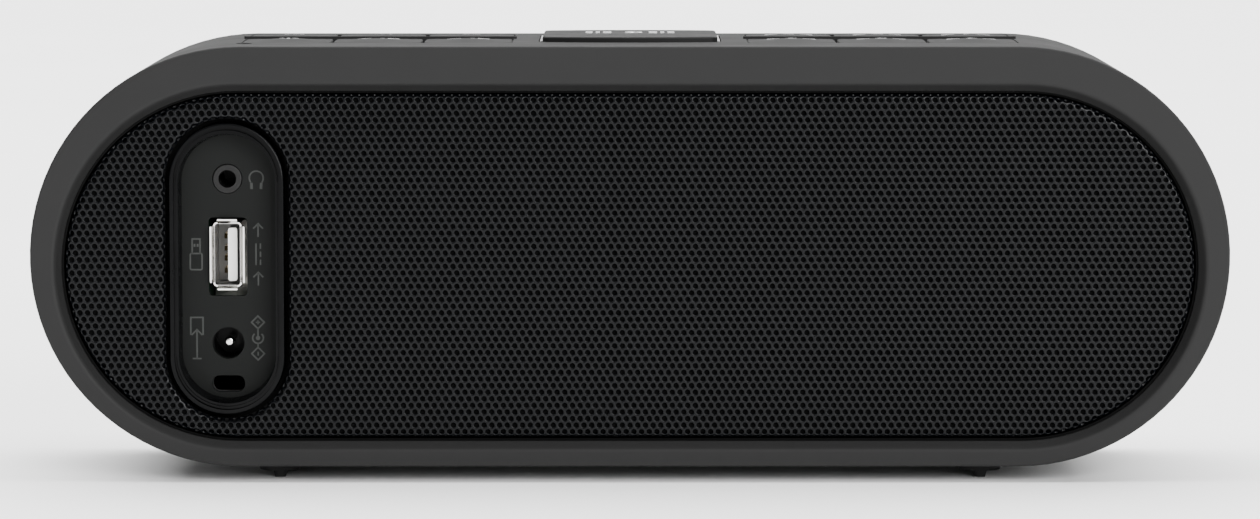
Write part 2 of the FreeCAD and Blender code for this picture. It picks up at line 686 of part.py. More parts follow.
def stem_places():
    return [(x, y) for name, x, y in key_places()] + snooze_stems()


def snap_domes():
    """Metal snap domes on the key board, one under each stem: thin cones with a flat top."""
    radius, crown, sheet = 2.6, 1.1, 0.15
    domes = []
    for x, y in stem_places():
        foot = Vector(x, y, BOARD_TOP)
        outer = Part.makeCone(radius, crown, DOME_HEIGHT, foot)
        inner = Part.makeCone(radius - 2 * sheet, crown - sheet, DOME_HEIGHT - sheet, foot)
        domes.append(outer.cut(inner))
    return domes


def key_frame():
    """A plate that guides every stem, screwed up against the cabinet roof."""
    leg_radius, leg_inset = 1.2, 1.4
    top = BODY_Z + CABINET_RADIUS - CABINET_WALL - TOUCH
    frame = box(-KEY_BOARD_X, KEY_BOARD_X, KEY_Y - KEY_BOARD_Y, KEY_Y + KEY_BOARD_Y, STEM_FOOT + FIT, top)
    for x, y in stem_places():
        frame = frame.cut(rod_z(STEM_RADIUS + STEM_CLEAR, x, y, STEM_FOOT, TOP_Z))
    legs = []
    for x in (-LEG_OUTER_X, -LEG_INNER_X, LEG_INNER_X, LEG_OUTER_X):
        for side in (-1, 1):
            y = KEY_Y + side * (KEY_BOARD_Y - leg_inset)
            legs.append(rod_z(leg_radius, x, y, BOARD_TOP + TOUCH, STEM_FOOT + ROOT))
    return joined([frame] + legs)


# ---------------------------------------------------------------- loudspeakers
def basket(x):
    """A pressed basket: a flat flange, and a bowl with four windows."""
    z = SPEAKER_Z
    seat = -BAFFLE_IN
    inner = FLANGE_RADIUS - FLANGE_WIDTH
    flange = turned_y([(inner, seat), (FLANGE_RADIUS, seat), (FLANGE_RADIUS, seat + FLANGE_THICK),
                       (inner, seat + FLANGE_THICK)], x, z)
    back = PLATE_FRONT
    bowl = turned_y([(24.8, -18.2), (26.2, -18.2), (15.6, back), (7.4, back), (7.4, back - 1.2),
                     (14.8, back - 1.2)], x, z)
    half, reach = 4.2, FLANGE_RADIUS
    window_front, window_back = -16.2, -8.0
    bowl = bowl.cut(box(x - half, x + half, window_front, window_back, z - reach, z + reach))
    bowl = bowl.cut(box(x - reach, x + reach, window_front, window_back, z - half, z + half))
    whole = joined([flange, bowl])
    for hole_x, hole_z in speaker_screw_places(x):
        whole = whole.cut(rod_y(SPEAKER_SCREW + FIT, hole_x, hole_z, seat - PAST, seat + 2 * FLANGE_THICK))
    return whole


def speaker_screw_places(x):
    reach = SPEAKER_BOLTS * math.sqrt(0.5)
    return [(x + sx * reach, SPEAKER_Z + sz * reach) for sx in (-1, 1) for sz in (-1, 1)]


def speaker_screws():
    screws = []
    head_radius, head_height, tip = 1.7, 1.4, 0.1
    seat = -BAFFLE_IN + FLANGE_THICK
    for side in (-1, 1):
        for x, z in speaker_screw_places(side * SPEAKER_X):
            head = rod_y(head_radius, x, z, seat, seat + head_height)
            shank = rod_y(SPEAKER_SCREW, x, z, -BAFFLE_IN + tip, seat + ROOT)
            screws.append(joined([head, shank]))
    return screws


def top_plate(x):
    inner, outer = 6.9, 15.0
    return turned_y([(inner, PLATE_FRONT), (outer, PLATE_FRONT), (outer, PLATE_BACK), (inner, PLATE_BACK)],
                    x, SPEAKER_Z)


def magnet(x):
    inner, outer = 9.5, 16.0
    return turned_y([(inner, PLATE_BACK), (outer, PLATE_BACK), (outer, MAGNET_BACK), (inner, MAGNET_BACK)],
                    x, SPEAKER_Z)


def yoke(x):
    """The pole in the middle of the coil and the plate behind the magnet, in one piece."""
    outer, sheet = 15.0, 3.0
    return turned_y([(0, PLATE_FRONT - 0.2), (POLE_RADIUS, PLATE_FRONT - 0.2), (POLE_RADIUS, MAGNET_BACK),
                     (outer, MAGNET_BACK), (outer, MAGNET_BACK + sheet), (0, MAGNET_BACK + sheet)],
                    x, SPEAKER_Z)


def cone(x):
    rim, neck, sheet = -19.0, -12.4, 0.4
    return turned_y([(COIL_RADIUS, neck + sheet), (CONE_RADIUS, rim + sheet), (CONE_RADIUS, rim),
                     (COIL_RADIUS, neck)], x, SPEAKER_Z)


def dust_cap(x):
    """A shallow dome that closes the middle of the cone."""
    r, rise, sheet, seat = 8.0, 2.6, 0.3, -13.25
    ball = (r ** 2 + rise ** 2) / (2 * rise)
    centre = Vector(x, seat + ball - rise, SPEAKER_Z)
    cap = Part.makeSphere(ball, centre).common(rod_y(r, x, SPEAKER_Z, seat - rise - 1, seat))
    return cap.cut(Part.makeSphere(ball - sheet, centre))


def voice_coil(x):
    """A thin former, with the winding in the gap of the top plate."""
    wall, winding_wall, front, back = 0.15, 0.22, -12.6, -1.0
    inner, outer = COIL_RADIUS - wall, COIL_RADIUS + winding_wall
    former = turned_y([(inner, front), (COIL_RADIUS, front), (COIL_RADIUS, back), (inner, back)],
                      x, SPEAKER_Z)
    winding = turned_y([(COIL_RADIUS, PLATE_FRONT), (outer, PLATE_FRONT), (outer, PLATE_BACK),
                        (COIL_RADIUS, PLATE_BACK)], x, SPEAKER_Z)
    return joined([former, winding])


def half_roll(inner, outer, y, rise, sheet, x):
    """A half-round roll between two radii, turned about the speaker's axis."""
    middle = (inner + outer) / 2
    reach = (outer - inner) / 2
    z = SPEAKER_Z

    def arch(reach_now, rise_now):
        return Part.Arc(Vector(x + middle - reach_now, y, z), Vector(x + middle, y - rise_now, z),
                        Vector(x + middle + reach_now, y, z)).toShape()
    outer_arch = arch(reach, rise)
    inner_arch = arch(reach - sheet, rise - sheet)
    ends = [Part.LineSegment(Vector(x + middle + s * reach, y, z),
                             Vector(x + middle + s * (reach - sheet), y, z)).toShape() for s in (-1, 1)]
    face = Part.Face(Part.Wire(Part.__sortEdges__([outer_arch, inner_arch] + ends)))
    return face.revolve(Vector(x, 0, z), Vector(0, 1, 0), 360)


def surround(x):
    """A half roll from the cone to the baffle, with a flat hem under the baffle's edge."""
    roll_outer, roll_rise, sheet = 25.1, 1.7, 0.4
    roll = half_roll(CONE_RADIUS + 0.35, roll_outer, -BAFFLE_IN - 0.06, roll_rise, sheet, x)
    hem_in, hem_out, hem_back, hem_front = 24.6, 25.3, -BAFFLE_IN - 0.02, -BAFFLE_IN - 0.3
    hem = turned_y([(hem_in, hem_front), (hem_out, hem_front), (hem_out, hem_back), (hem_in, hem_back)],
                   x, SPEAKER_Z)
    return joined([roll, hem])


def spider(x):
    """A corrugated disc that centres the coil."""
    rings, rise, sheet = 6, 0.7, 0.3
    inner, outer, y = COIL_RADIUS + 0.35, 16.4, -8.6
    upper, lower = [], []
    for i in range(rings + 1):
        r = inner + (outer - inner) * i / rings
        bump = rise if i % 2 else 0
        upper.append((r, y - bump))
        lower.append((r, y - bump + sheet))
    return turned_y(upper + lower[::-1], x, SPEAKER_Z)


# ---------------------------------------------------------------- passive radiator
def radiator_shape(radius, y0, y1):
    return stadium(radius, RADIATOR_X, y0, y1, 0, OPENING_Z)


def radiator_frame():
    width, sheet, inset = 4.0, 2.0, 0.2
    frame = radiator_shape(RADIATOR_RADIUS + width, BAFFLE_IN - sheet, BAFFLE_IN - 0.02)
    return frame.cut(radiator_shape(RADIATOR_RADIUS - inset, 0, FACE_Y))


def radiator_surround():
    """A rubber roll between the frame and the plate, made as a ring with a hollow back."""
    outer, inner = RADIATOR_RADIUS - 0.25, RADIATOR_PLATE + 0.35
    back, front, roll, wall = BAFFLE_IN - 1.4, BAFFLE_IN + 1.2, 1.3, 0.5
    ring = radiator_shape(outer, back, front).cut(radiator_shape(inner, 0, FACE_Y))
    rims = [e for e in ring.Edges if e.BoundBox.YMin > front - NEAR]
    ring = ring.makeFillet(roll, rims)
    hollow = radiator_shape(outer - wall, back - PAST, front - wall - FIT)
    return ring.cut(hollow.cut(radiator_shape(inner + wall, 0, FACE_Y)))


def radiator_plate():
    """A flat plate with a weight behind it."""
    front, back, weight_radius, weight_back = BAFFLE_IN - 0.2, BAFFLE_IN - 1.4, 8.0, BAFFLE_IN - 4.0
    plate = radiator_shape(RADIATOR_PLATE, back, front)
    weight = radiator_shape(weight_radius, weight_back, back + FIT)
    return joined([plate, weight])


# ---------------------------------------------------------------- display and boards
def display_lens():
    lens = lens_block(-LENS_FACE, -LENS_FACE + LENS_SHEET)
    rim = [e for e in lens.Edges if e.BoundBox.YMax < -LENS_FACE + NEAR]
    return lens.makeFillet(LENS_ROUNDING, rim)


def display_frame():
    """A tray that stands in the baffle window and carries the glass behind the lens."""
    y0 = -LENS_FACE + LENS_SHEET + 0.02
    w, h = LENS_WIDTH / 2, LENS_HEIGHT / 2
    flange = rounded_box(-w, w, y0, -BAFFLE_OUT - 0.02, OPENING_Z - h, OPENING_Z + h, 5.0, "Y")
    step = TRAY_STEP + 0.3
    tray = rounded_box(-w + step, w - step, -BAFFLE_OUT - ROOT, TRAY_BACK,
                       OPENING_Z - h + step, OPENING_Z + h - step, 3.5, "Y")
    rim = TRAY_RIM
    pocket = box(-w + rim, w - rim, y0 - PAST, TRAY_BACK - 1.5, OPENING_Z - h + rim, OPENING_Z + h - rim)
    return joined([flange, tray]).cut(pocket)


def display_glass():
    w, h = LENS_WIDTH / 2 - TRAY_RIM - FIT, LENS_HEIGHT / 2 - TRAY_RIM - FIT
    y0 = -LENS_FACE + LENS_SHEET + 0.3
    return box(-w, w, y0, y0 + GLASS_THICK, OPENING_Z - h, OPENING_Z + h)


def board_posts():
    return [(side * POST_X, OPENING_Z + up * POST_Z) for side in (-1, 1) for up in (-1, 1)]


def main_board():
    board = box(-BOARD_HALF, BOARD_HALF, BOARD_Y, BOARD_Y + BOARD_SHEET,
                OPENING_Z - BOARD_HALF_HEIGHT, OPENING_Z + BOARD_HALF_HEIGHT)
    for x, z in board_posts():
        board = board.cut(rod_y(BOARD_HOLE, x, z, BOARD_Y - PAST, BOARD_Y + BOARD_SHEET + PAST))
    return board


def board_screws():
    head_radius, head_height, length = 2.2, 1.5, 6.0
    y = BOARD_Y + BOARD_SHEET
    return [joined([rod_y(head_radius, x, z, y, y + head_height),
                    rod_y(BOARD_SCREW, x, z, y - length, y + ROOT)]) for x, z in board_posts()]


def board_parts():
    """Chips, capacitors, coils and connectors on the rear face of the main board."""
    y = BOARD_Y + BOARD_SHEET + 0.02
    z = OPENING_Z
    # each x0, x1, z0, z1 and height
    blocks = [(-8, 4, -6, 6, 1.4), (-26, -18, -20, -12, 1.2), (-12, -4, -22, -16, 1.2),
              (28.5, 33.5, 3, 9, 4.0), (-33.5, -28.5, 3, 9, 4.0), (28.5, 33.5, -13, -4, 4.0),
              (-10, 10, 23.5, 27.0, 3.0)]
    # each radius, height, x and z
    capacitors = [(4.0, 9.0, 12.0, -18.0), (4.0, 9.0, 21.0, -18.0), (3.1, 7.0, 13.0, -8.0),
                  (3.1, 7.0, 21.0, -8.0), (2.5, 5.5, -28.0, -4.0)]
    coil_size, coil_height, coil_corner, coil_z = 7.0, 3.2, 1.5, 10.0
    parts = [box(x0, x1, y, y + height, z + z0, z + z1) for x0, x1, z0, z1, height in blocks]
    parts += [rod_y(radius, x, z + up, y, y + height) for radius, height, x, up in capacitors]
    for x in (8.0, 17.0):
        parts.append(rounded_box(x, x + coil_size, y, y + coil_height, z + coil_z, z + coil_z + coil_size,
                                 coil_corner, "Y"))
    return parts


def tuner_can():
    x0, x1, z0, z1, height, corner = -27.0, -10.0, 3.0, 19.0, 3.6, 0.8
    y = BOARD_Y + BOARD_SHEET + 0.02
    return rounded_box(x0, x1, y, y + height, OPENING_Z + z0, OPENING_Z + z1, corner, "Y")


def wire(points, radius, bends):
    """A round lead along straight runs joined by arcs of the given bend radii."""
    edges = []
    here = points[0]
    for i in range(1, len(points) - 1):
        before = (points[i - 1] - points[i]).normalize()
        after = (points[i + 1] - points[i]).normalize()
        half = before.getAngle(after) / 2
        back = bends[i - 1] / math.tan(half)
        start, end = points[i] + before * back, points[i] + after * back
        inward = (before + after).normalize()
        centre = points[i] + inward * (bends[i - 1] / math.sin(half))
        middle = centre - inward * bends[i - 1]
        edges.append(Part.LineSegment(here, start).toShape())
        edges.append(Part.Arc(start, middle, end).toShape())
        here = end
    edges.append(Part.LineSegment(here, points[-1]).toShape())
    path = Part.Wire(edges)
    ring = Part.Wire([Part.Circle(points[0], points[1] - points[0], radius).toShape()])
    return path.makePipeShell([ring], True, False)


def speaker_leads():
    """One twin lead to each speaker, from its plug on the main board to the basket's flange."""
    plug_x, run_x, lead_radius, bend = 33.6, 39.6, 0.7, 4.0
    y = BOARD_Y + BOARD_SHEET + 2.2
    z = OPENING_Z + 6.0
    flange_back = -BAFFLE_IN + FLANGE_THICK + FIT
    points = [Vector(plug_x, y, z), Vector(run_x, y, z), Vector(run_x, flange_back, z)]
    lead = wire(points, lead_radius, [bend])
    return [lead, mirrored(lead)]


def ribbon(points, z0, z1, sheet=0.3):
    """A flat cable along (x, y) points, standing from z0 to z1."""
    left, right = [], []
    for i, (x, y) in enumerate(points):
        a = points[max(i - 1, 0)]
        b = points[min(i + 1, len(points) - 1)]
        length = math.hypot(b[0] - a[0], b[1] - a[1])
        nx, ny = -(b[1] - a[1]) / length, (b[0] - a[0]) / length
        left.append(Vector(x + nx * sheet / 2, y + ny * sheet / 2, z0))
        right.append(Vector(x - nx * sheet / 2, y - ny * sheet / 2, z0))
    outline = left + right[::-1]
    face = Part.Face(Part.makePolygon(outline + outline[:1]))
    return face.extrude(Vector(0, 0, z1 - z0))


def ribbon_cables():
    """Flat cables from the main board to the ports, the display and the key board."""
    z = OPENING_Z
    sheet, half = 0.3, 8.0
    route = [(33.7, -2.5), (38.0, -1.5), (43.0, 5.0), (50.0, 10.6), (60.0, 12.2), (74.0, 12.2),
             (80.5, 10.5), (85.1, 7.0)]
    port = ribbon(route, z - 9.8, z - 5.6)
    display_z = z + 17.5
    display = box(-half, half, TRAY_BACK + FIT, BOARD_Y - FIT, display_z, display_z + sheet)
    keys_y = BOARD_Y + BOARD_SHEET + 1.0
    keys = box(-half, half, keys_y, keys_y + sheet, z + 27.1, BOARD_TOP - BOARD_SHEET - FIT)
    return [port, display, keys]


# ---------------------------------------------------------------- feet
def foot_outline(width, length, corner, z):
    """A rounded rectangle seen from above, about one foot's centre."""
    w, d = width / 2, length / 2
    turn = corner * (1 - math.sqrt(0.5))

    def at(x, y):
        return Vector(FOOT_X + x, y, z)
    edges = []
    for sx, sy in ((1, 1), (-1, 1), (-1, -1), (1, -1)):
        side, end = at(sx * w, sy * (d - corner)), at(sx * (w - corner), sy * d)
        edges.append(Part.Arc(side, at(sx * (w - turn), sy * (d - turn)), end).toShape())
    for s in (1, -1):
        edges.append(Part.LineSegment(at(s * w, corner - d), at(s * w, d - corner)).toShape())
        edges.append(Part.LineSegment(at(corner - w, s * d), at(w - corner, s * d)).toShape())
    return Part.Wire(Part.__sortEdges__(edges))


def foot_bar(top, bottom, z0, z1, length):
    """A bar along Y whose sides and ends slope inwards as it goes down."""
    upper = foot_outline(top, length, top / 2.6, z1)
    lower = foot_outline(bottom, length - top + bottom, bottom / 2.6, z0)
    return Part.makeLoft([lower, upper], True, True)


def foot_plinths():
    """The two bars moulded under the sleeve, each with a slot for its rubber pad."""
    z0 = FOOT_HEIGHT - PLINTH_HEIGHT
    plinth = foot_bar(PLINTH_TOP, PLINTH_BOTTOM, z0, FOOT_HEIGHT + ROOT / 2, FOOT_LENGTH)
    half_x, half_y = PAD_TOP / 2 + TOUCH, FOOT_LENGTH / 2 - PAD_INSET
    slot = box(FOOT_X - half_x, FOOT_X + half_x, -half_y, half_y, z0 - PAST, z0 + PAD_ROOT + TOUCH)
    plinth = plinth.cut(slot)
    return [plinth, mirrored(plinth)]


def foot_pads():
    z0 = FOOT_HEIGHT - PLINTH_HEIGHT
    length = FOOT_LENGTH - 2 * (PAD_INSET + FIT)
    half = PAD_TOP / 2
    root = box(FOOT_X - half, FOOT_X + half, -length / 2, length / 2, z0 - FIT, z0 + PAD_ROOT)
    nose = foot_bar(PAD_TOP, PAD_BOTTOM, 0.0, z0, length)
    pad = joined([root, nose])
    return [pad, mirrored(pad)]


# ---------------------------------------------------------------- the assembly
def build():
    os.makedirs("parts", exist_ok=True)
    save("outer_sleeve", outer_sleeve())
    save("front_cabinet", front_cabinet())
    save("rear_cabinet", rear_cabinet())
    save("case_screws", *case_screws())
    save("front_grille", front_grille())
    save("rear_grille", rear_grille())
    save("grille_cloths", *grille_cloths())
    save("port_surround", port_surround())
    save("port_panel", port_panel())
    save("headphone_jack", headphone_jack())
    save("usb_shell", usb_shell())
    save("usb_tongue", usb_tongue())
    save("usb_contacts", *usb_contacts())
    save("dc_jack", dc_jack())
    save("dc_pin", dc_pin())
    save("lock_plate", lock_plate())
    save("port_board", port_board())
    for name, x, y in key_places():
        save(name, key_cap(x, y))
    save("snooze_bar", snooze_bar())
    save("snooze_base", snooze_base())
    save("key_frame", key_frame())
    save("key_board", key_board())
    save("snap_domes", *snap_domes())
    pair = (-SPEAKER_X, SPEAKER_X)
    save("speaker_baskets", *[basket(x) for x in pair])
    save("speaker_magnets", *[magnet(x) for x in pair])
    save("speaker_yokes", *[top_plate(x) for x in pair], *[yoke(x) for x in pair])
    for side, x in zip(("left", "right"), pair):
        save(side + "_cone", cone(x))
        save(side + "_dust_cap", dust_cap(x))
        save(side + "_voice_coil", voice_coil(x))
        save(side + "_surround", surround(x))
        save(side + "_spider", spider(x))
    save("radiator_frame", radiator_frame())
    save("radiator_surround", radiator_surround())
    save("radiator_plate", radiator_plate())
    save("display_lens", display_lens())
    save("display_frame", display_frame())
    save("display_glass", display_glass())
    save("main_board", main_board())
    save("inner_screws", *speaker_screws(), *board_screws())
    save("board_parts", *board_parts())
    save("tuner_can", tuner_can())
    save("speaker_leads", *speaker_leads())
    save("ribbon_cables", *ribbon_cables())
    save("foot_pads", *foot_pads())


build()
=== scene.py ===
# Tabletop radio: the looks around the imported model. Metres; -Y is the front, +Y the rear with
# the ports, Z is up. Sizes on the object are named in millimetres and turned with MM.
import json
import math

import bmesh
import bpy
import numpy as np
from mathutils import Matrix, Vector

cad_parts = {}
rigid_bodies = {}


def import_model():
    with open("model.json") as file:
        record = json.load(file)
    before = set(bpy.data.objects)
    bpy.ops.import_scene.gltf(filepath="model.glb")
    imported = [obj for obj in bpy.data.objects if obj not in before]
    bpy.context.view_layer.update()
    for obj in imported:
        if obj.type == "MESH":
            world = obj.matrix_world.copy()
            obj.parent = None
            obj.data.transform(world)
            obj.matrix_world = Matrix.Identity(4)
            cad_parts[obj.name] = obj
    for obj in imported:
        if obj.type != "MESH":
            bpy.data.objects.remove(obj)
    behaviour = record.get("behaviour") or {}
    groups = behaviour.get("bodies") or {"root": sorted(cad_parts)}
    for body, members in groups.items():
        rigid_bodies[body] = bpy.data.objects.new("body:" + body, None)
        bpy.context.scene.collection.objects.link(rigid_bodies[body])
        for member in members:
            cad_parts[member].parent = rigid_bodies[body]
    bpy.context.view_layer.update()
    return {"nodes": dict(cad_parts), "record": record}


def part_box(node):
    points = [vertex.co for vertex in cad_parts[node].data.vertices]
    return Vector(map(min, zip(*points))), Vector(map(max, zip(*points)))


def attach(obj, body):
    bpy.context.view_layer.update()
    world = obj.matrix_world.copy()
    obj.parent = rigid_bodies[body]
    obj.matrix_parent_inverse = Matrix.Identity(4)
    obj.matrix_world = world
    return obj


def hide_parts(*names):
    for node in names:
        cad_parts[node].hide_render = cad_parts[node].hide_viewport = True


MM = 0.001

for leftover in list(bpy.data.objects):
    bpy.data.objects.remove(leftover)
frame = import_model()
nodes = frame["nodes"]

# ------------------------------------------------------------------ places taken from the frame
def middle(node):
    low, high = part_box(node)
    return (low + high) / 2


RIB_HEIGHT = 0.5 * MM
BODY_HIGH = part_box("outer_sleeve")[1]
TOP_Z = BODY_HIGH.z - RIB_HEIGHT
REAR_Y = BODY_HIGH.y
GRILLE_LOW, GRILLE_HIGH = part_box("rear_grille")
GRILLE_Z = (GRILLE_LOW.z + GRILLE_HIGH.z) / 2
GRILLE_RADIUS = (GRILLE_HIGH.z - GRILLE_LOW.z) / 2
GRILLE_HALF = GRILLE_HIGH.x - GRILLE_RADIUS
PORT_LOW, PORT_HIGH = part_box("port_surround")
PORT_RADIUS = (PORT_HIGH.x - PORT_LOW.x) / 2
PORT_HALF = (PORT_HIGH.z - PORT_LOW.z) / 2 - PORT_RADIUS
PANEL_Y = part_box("port_panel")[1].y
LENS_LOW, LENS_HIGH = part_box("display_lens")
KEYS = [node for node in nodes if node.startswith("key_") and node not in ("key_frame", "key_board")]


# ------------------------------------------------------------------ mesh helpers
def new_object(name, vertices, faces, smooth=True, outward=False):
    mesh = bpy.data.meshes.new(name)
    mesh.from_pydata([tuple(v) for v in vertices], [], [tuple(f) for f in faces])
    mesh.validate()
    if outward:
        shell = bmesh.new()
        shell.from_mesh(mesh)
        bmesh.ops.recalc_face_normals(shell, faces=shell.faces)
        shell.to_mesh(mesh)
        shell.free()
    if smooth:
        mesh.shade_smooth()
    piece = bpy.data.objects.new(name, mesh)
    bpy.context.scene.collection.objects.link(piece)
    return piece


def add_box(vertices, faces, low, high):
    base = len(vertices)
    vertices += [(x, y, z) for x in (low[0], high[0]) for y in (low[1], high[1]) for z in (low[2], high[2])]
    corners = ((0, 1, 3, 2), (4, 6, 7, 5), (0, 4, 5, 1), (2, 3, 7, 6), (0, 2, 6, 4), (1, 5, 7, 3))
    faces += [tuple(base + c for c in face) for face in corners]


def add_rod(vertices, faces, x, y, z0, z1, radius, steps=24):
    base = len(vertices)
    for z in (z0, z1):
        vertices += [(x + radius * math.cos(a), y + radius * math.sin(a), z) for a in turns(steps)]
    around = range(steps)
    for i in around:
        j = (i + 1) % steps
        faces.append((base + i, base + j, base + steps + j, base + steps + i))
    faces += [tuple(base + i for i in around), tuple(base + steps + i for i in around)]


def turns(steps):
    """Angles that divide a full turn."""
    return [2 * math.pi * i / steps for i in range(steps)]


def settle(piece, body, slot, material, *replaced):
    """Gives a piece its body and material, and hides the CAD nodes that it stands for. slot is not used."""
    piece.data.materials.clear()
    piece.data.materials.append(material)
    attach(piece, body)
    if replaced:
        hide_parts(*replaced)
    return piece


# ------------------------------------------------------------------ materials
NOISE_LOW, NOISE_HIGH = 0.3, 0.7      # most of a noise lies between these
FINE_DETAIL = 4.0
BROAD_DETAIL = 2.0
GRAIN_SHARE = 0.5                     # of the grain in the gloss, beside the patches
GLOSS_LOW, GLOSS_HIGH = 0.5, 1.0      # most of grain and patches together lies between these
LEAST_ROUGHNESS = 0.02
RELIEF_STRENGTH = 0.6


def shader(name, colour, roughness, metallic=0.0, specular=0.5, emission=0.0):
    material = bpy.data.materials.new(name)
    material.use_nodes = True
    tree = material.node_tree
    surface = tree.nodes["Principled BSDF"]
    surface.inputs["Base Color"].default_value = (*colour, 1)
    surface.inputs["Roughness"].default_value = roughness
    surface.inputs["Metallic"].default_value = metallic
    surface.inputs["Specular IOR Level"].default_value = specular
    if emission:
        surface.inputs["Emission Color"].default_value = (*colour, 1)
        surface.inputs["Emission Strength"].default_value = emission
    return material, tree, surface


def noise(tree, size_mm, detail, stretch=(1, 1, 1)):
    """Noise whose blotches are about size_mm across, fixed to the object."""
    place = tree.nodes.new("ShaderNodeTexCoord")
    scale = tree.nodes.new("ShaderNodeMapping")
    scale.inputs["Scale"].default_value = stretch
    texture = tree.nodes.new("ShaderNodeTexNoise")
    texture.inputs["Scale"].default_value = 1 / (size_mm * MM)
    texture.inputs["Detail"].default_value = detail
    tree.links.new(place.outputs["Object"], scale.inputs["Vector"])
    tree.links.new(scale.outputs["Vector"], texture.inputs["Vector"])
    return texture.outputs["Fac"]


def ranged(tree, value, low, high):
    """Maps the middle of a noise onto low to high."""
    step = tree.nodes.new("ShaderNodeMapRange")
    step.inputs["From Min"].default_value = NOISE_LOW
    step.inputs["From Max"].default_value = NOISE_HIGH
    step.inputs["To Min"].default_value = low
    step.inputs["To Max"].default_value = high
    tree.links.new(value, step.inputs["Value"])
    return step.outputs["Result"]


def tinted(tree, colour, factor):
    """The colour, made lighter or darker by a factor that varies over the surface."""
    mix = tree.nodes.new("ShaderNodeVectorMath")
    mix.operation = "SCALE"
    mix.inputs[0].default_value = colour
    tree.links.new(factor, mix.inputs["Scale"])
    return mix.outputs["Vector"]


def finish(name, colour, roughness, grain=0.3, bump=0.006, patch=9.0, variation=0.08,
           spread=0.06, stretch=(1, 1, 1), **more):
    """A moulded, painted or ground surface: grain in the bump, patches in colour and gloss.
    grain, bump and patch are in millimetres; variation and spread are how far the patches go."""
    material, tree, surface = shader(name, colour, roughness, **more)
    fine = noise(tree, grain, FINE_DETAIL, stretch)
    broad = noise(tree, patch, BROAD_DETAIL)
    tree.links.new(tinted(tree, colour, ranged(tree, broad, 1 - variation, 1 + variation)),
                   surface.inputs["Base Color"])
    both = tree.nodes.new("ShaderNodeMath")
    both.operation = "MULTIPLY_ADD"
    both.inputs[1].default_value = GRAIN_SHARE
    tree.links.new(fine, both.inputs[0])
    tree.links.new(broad, both.inputs[2])
    gloss = tree.nodes.new("ShaderNodeMapRange")
    gloss.inputs["From Min"].default_value = GLOSS_LOW
    gloss.inputs["From Max"].default_value = GLOSS_HIGH
    gloss.inputs["To Min"].default_value = max(LEAST_ROUGHNESS, roughness - spread)
    gloss.inputs["To Max"].default_value = min(1.0, roughness + spread)
    tree.links.new(both.outputs["Value"], gloss.inputs["Value"])
    tree.links.new(gloss.outputs["Result"], surface.inputs["Roughness"])
    relief = tree.nodes.new("ShaderNodeBump")
    relief.inputs["Strength"].default_value = RELIEF_STRENGTH
    relief.inputs["Distance"].default_value = bump * MM
    tree.links.new(fine, relief.inputs["Height"])
    tree.links.new(relief.outputs["Normal"], surface.inputs["Normal"])
    return material


def place_axis(tree, axis):
    """One coordinate of the shaded point on the object, in metres."""
    place = tree.nodes.new("ShaderNodeTexCoord")
    split = tree.nodes.new("ShaderNodeSeparateXYZ")
    tree.links.new(place.outputs["Object"], split.inputs["Vector"])
    return split.outputs[axis]


def maths(tree, operation, first, second=0.0):
    """A math node. Each input is a number or another node's output."""
    node = tree.nodes.new("ShaderNodeMath")
    node.operation = operation
    for socket, value in zip(node.inputs, (first, second)):
        if isinstance(value, (int, float)):
            socket.default_value = value
        else:
            tree.links.new(value, socket)
    return node.outputs["Value"]


def shaded(material, factor):
    """Darkens a finished material's colour by a factor that depends on the place."""
    tree = material.node_tree
    surface = tree.nodes["Principled BSDF"]
    colour = surface.inputs["Base Color"].links[0].from_socket
    darker = tree.nodes.new("ShaderNodeVectorMath")
    darker.operation = "SCALE"
    tree.links.new(colour, darker.inputs[0])
    tree.links.new(factor, darker.inputs["Scale"])
    tree.links.new(darker.outputs["Vector"], surface.inputs["Base Color"])


def stepped(tree, value, start, end, low, high):
    """Goes smoothly from low to high as a value goes from start to end."""
    step = tree.nodes.new("ShaderNodeMapRange")
    step.interpolation_type = "SMOOTHSTEP"
    step.inputs["From Min"].default_value = start
    step.inputs["From Max"].default_value = end
    step.inputs["To Min"].default_value = low
    step.inputs["To Max"].default_value = high
    tree.links.new(value, step.inputs["Value"])
    return step.outputs["Result"]


SOFT_BLACK = (0.0145, 0.0145, 0.0145)
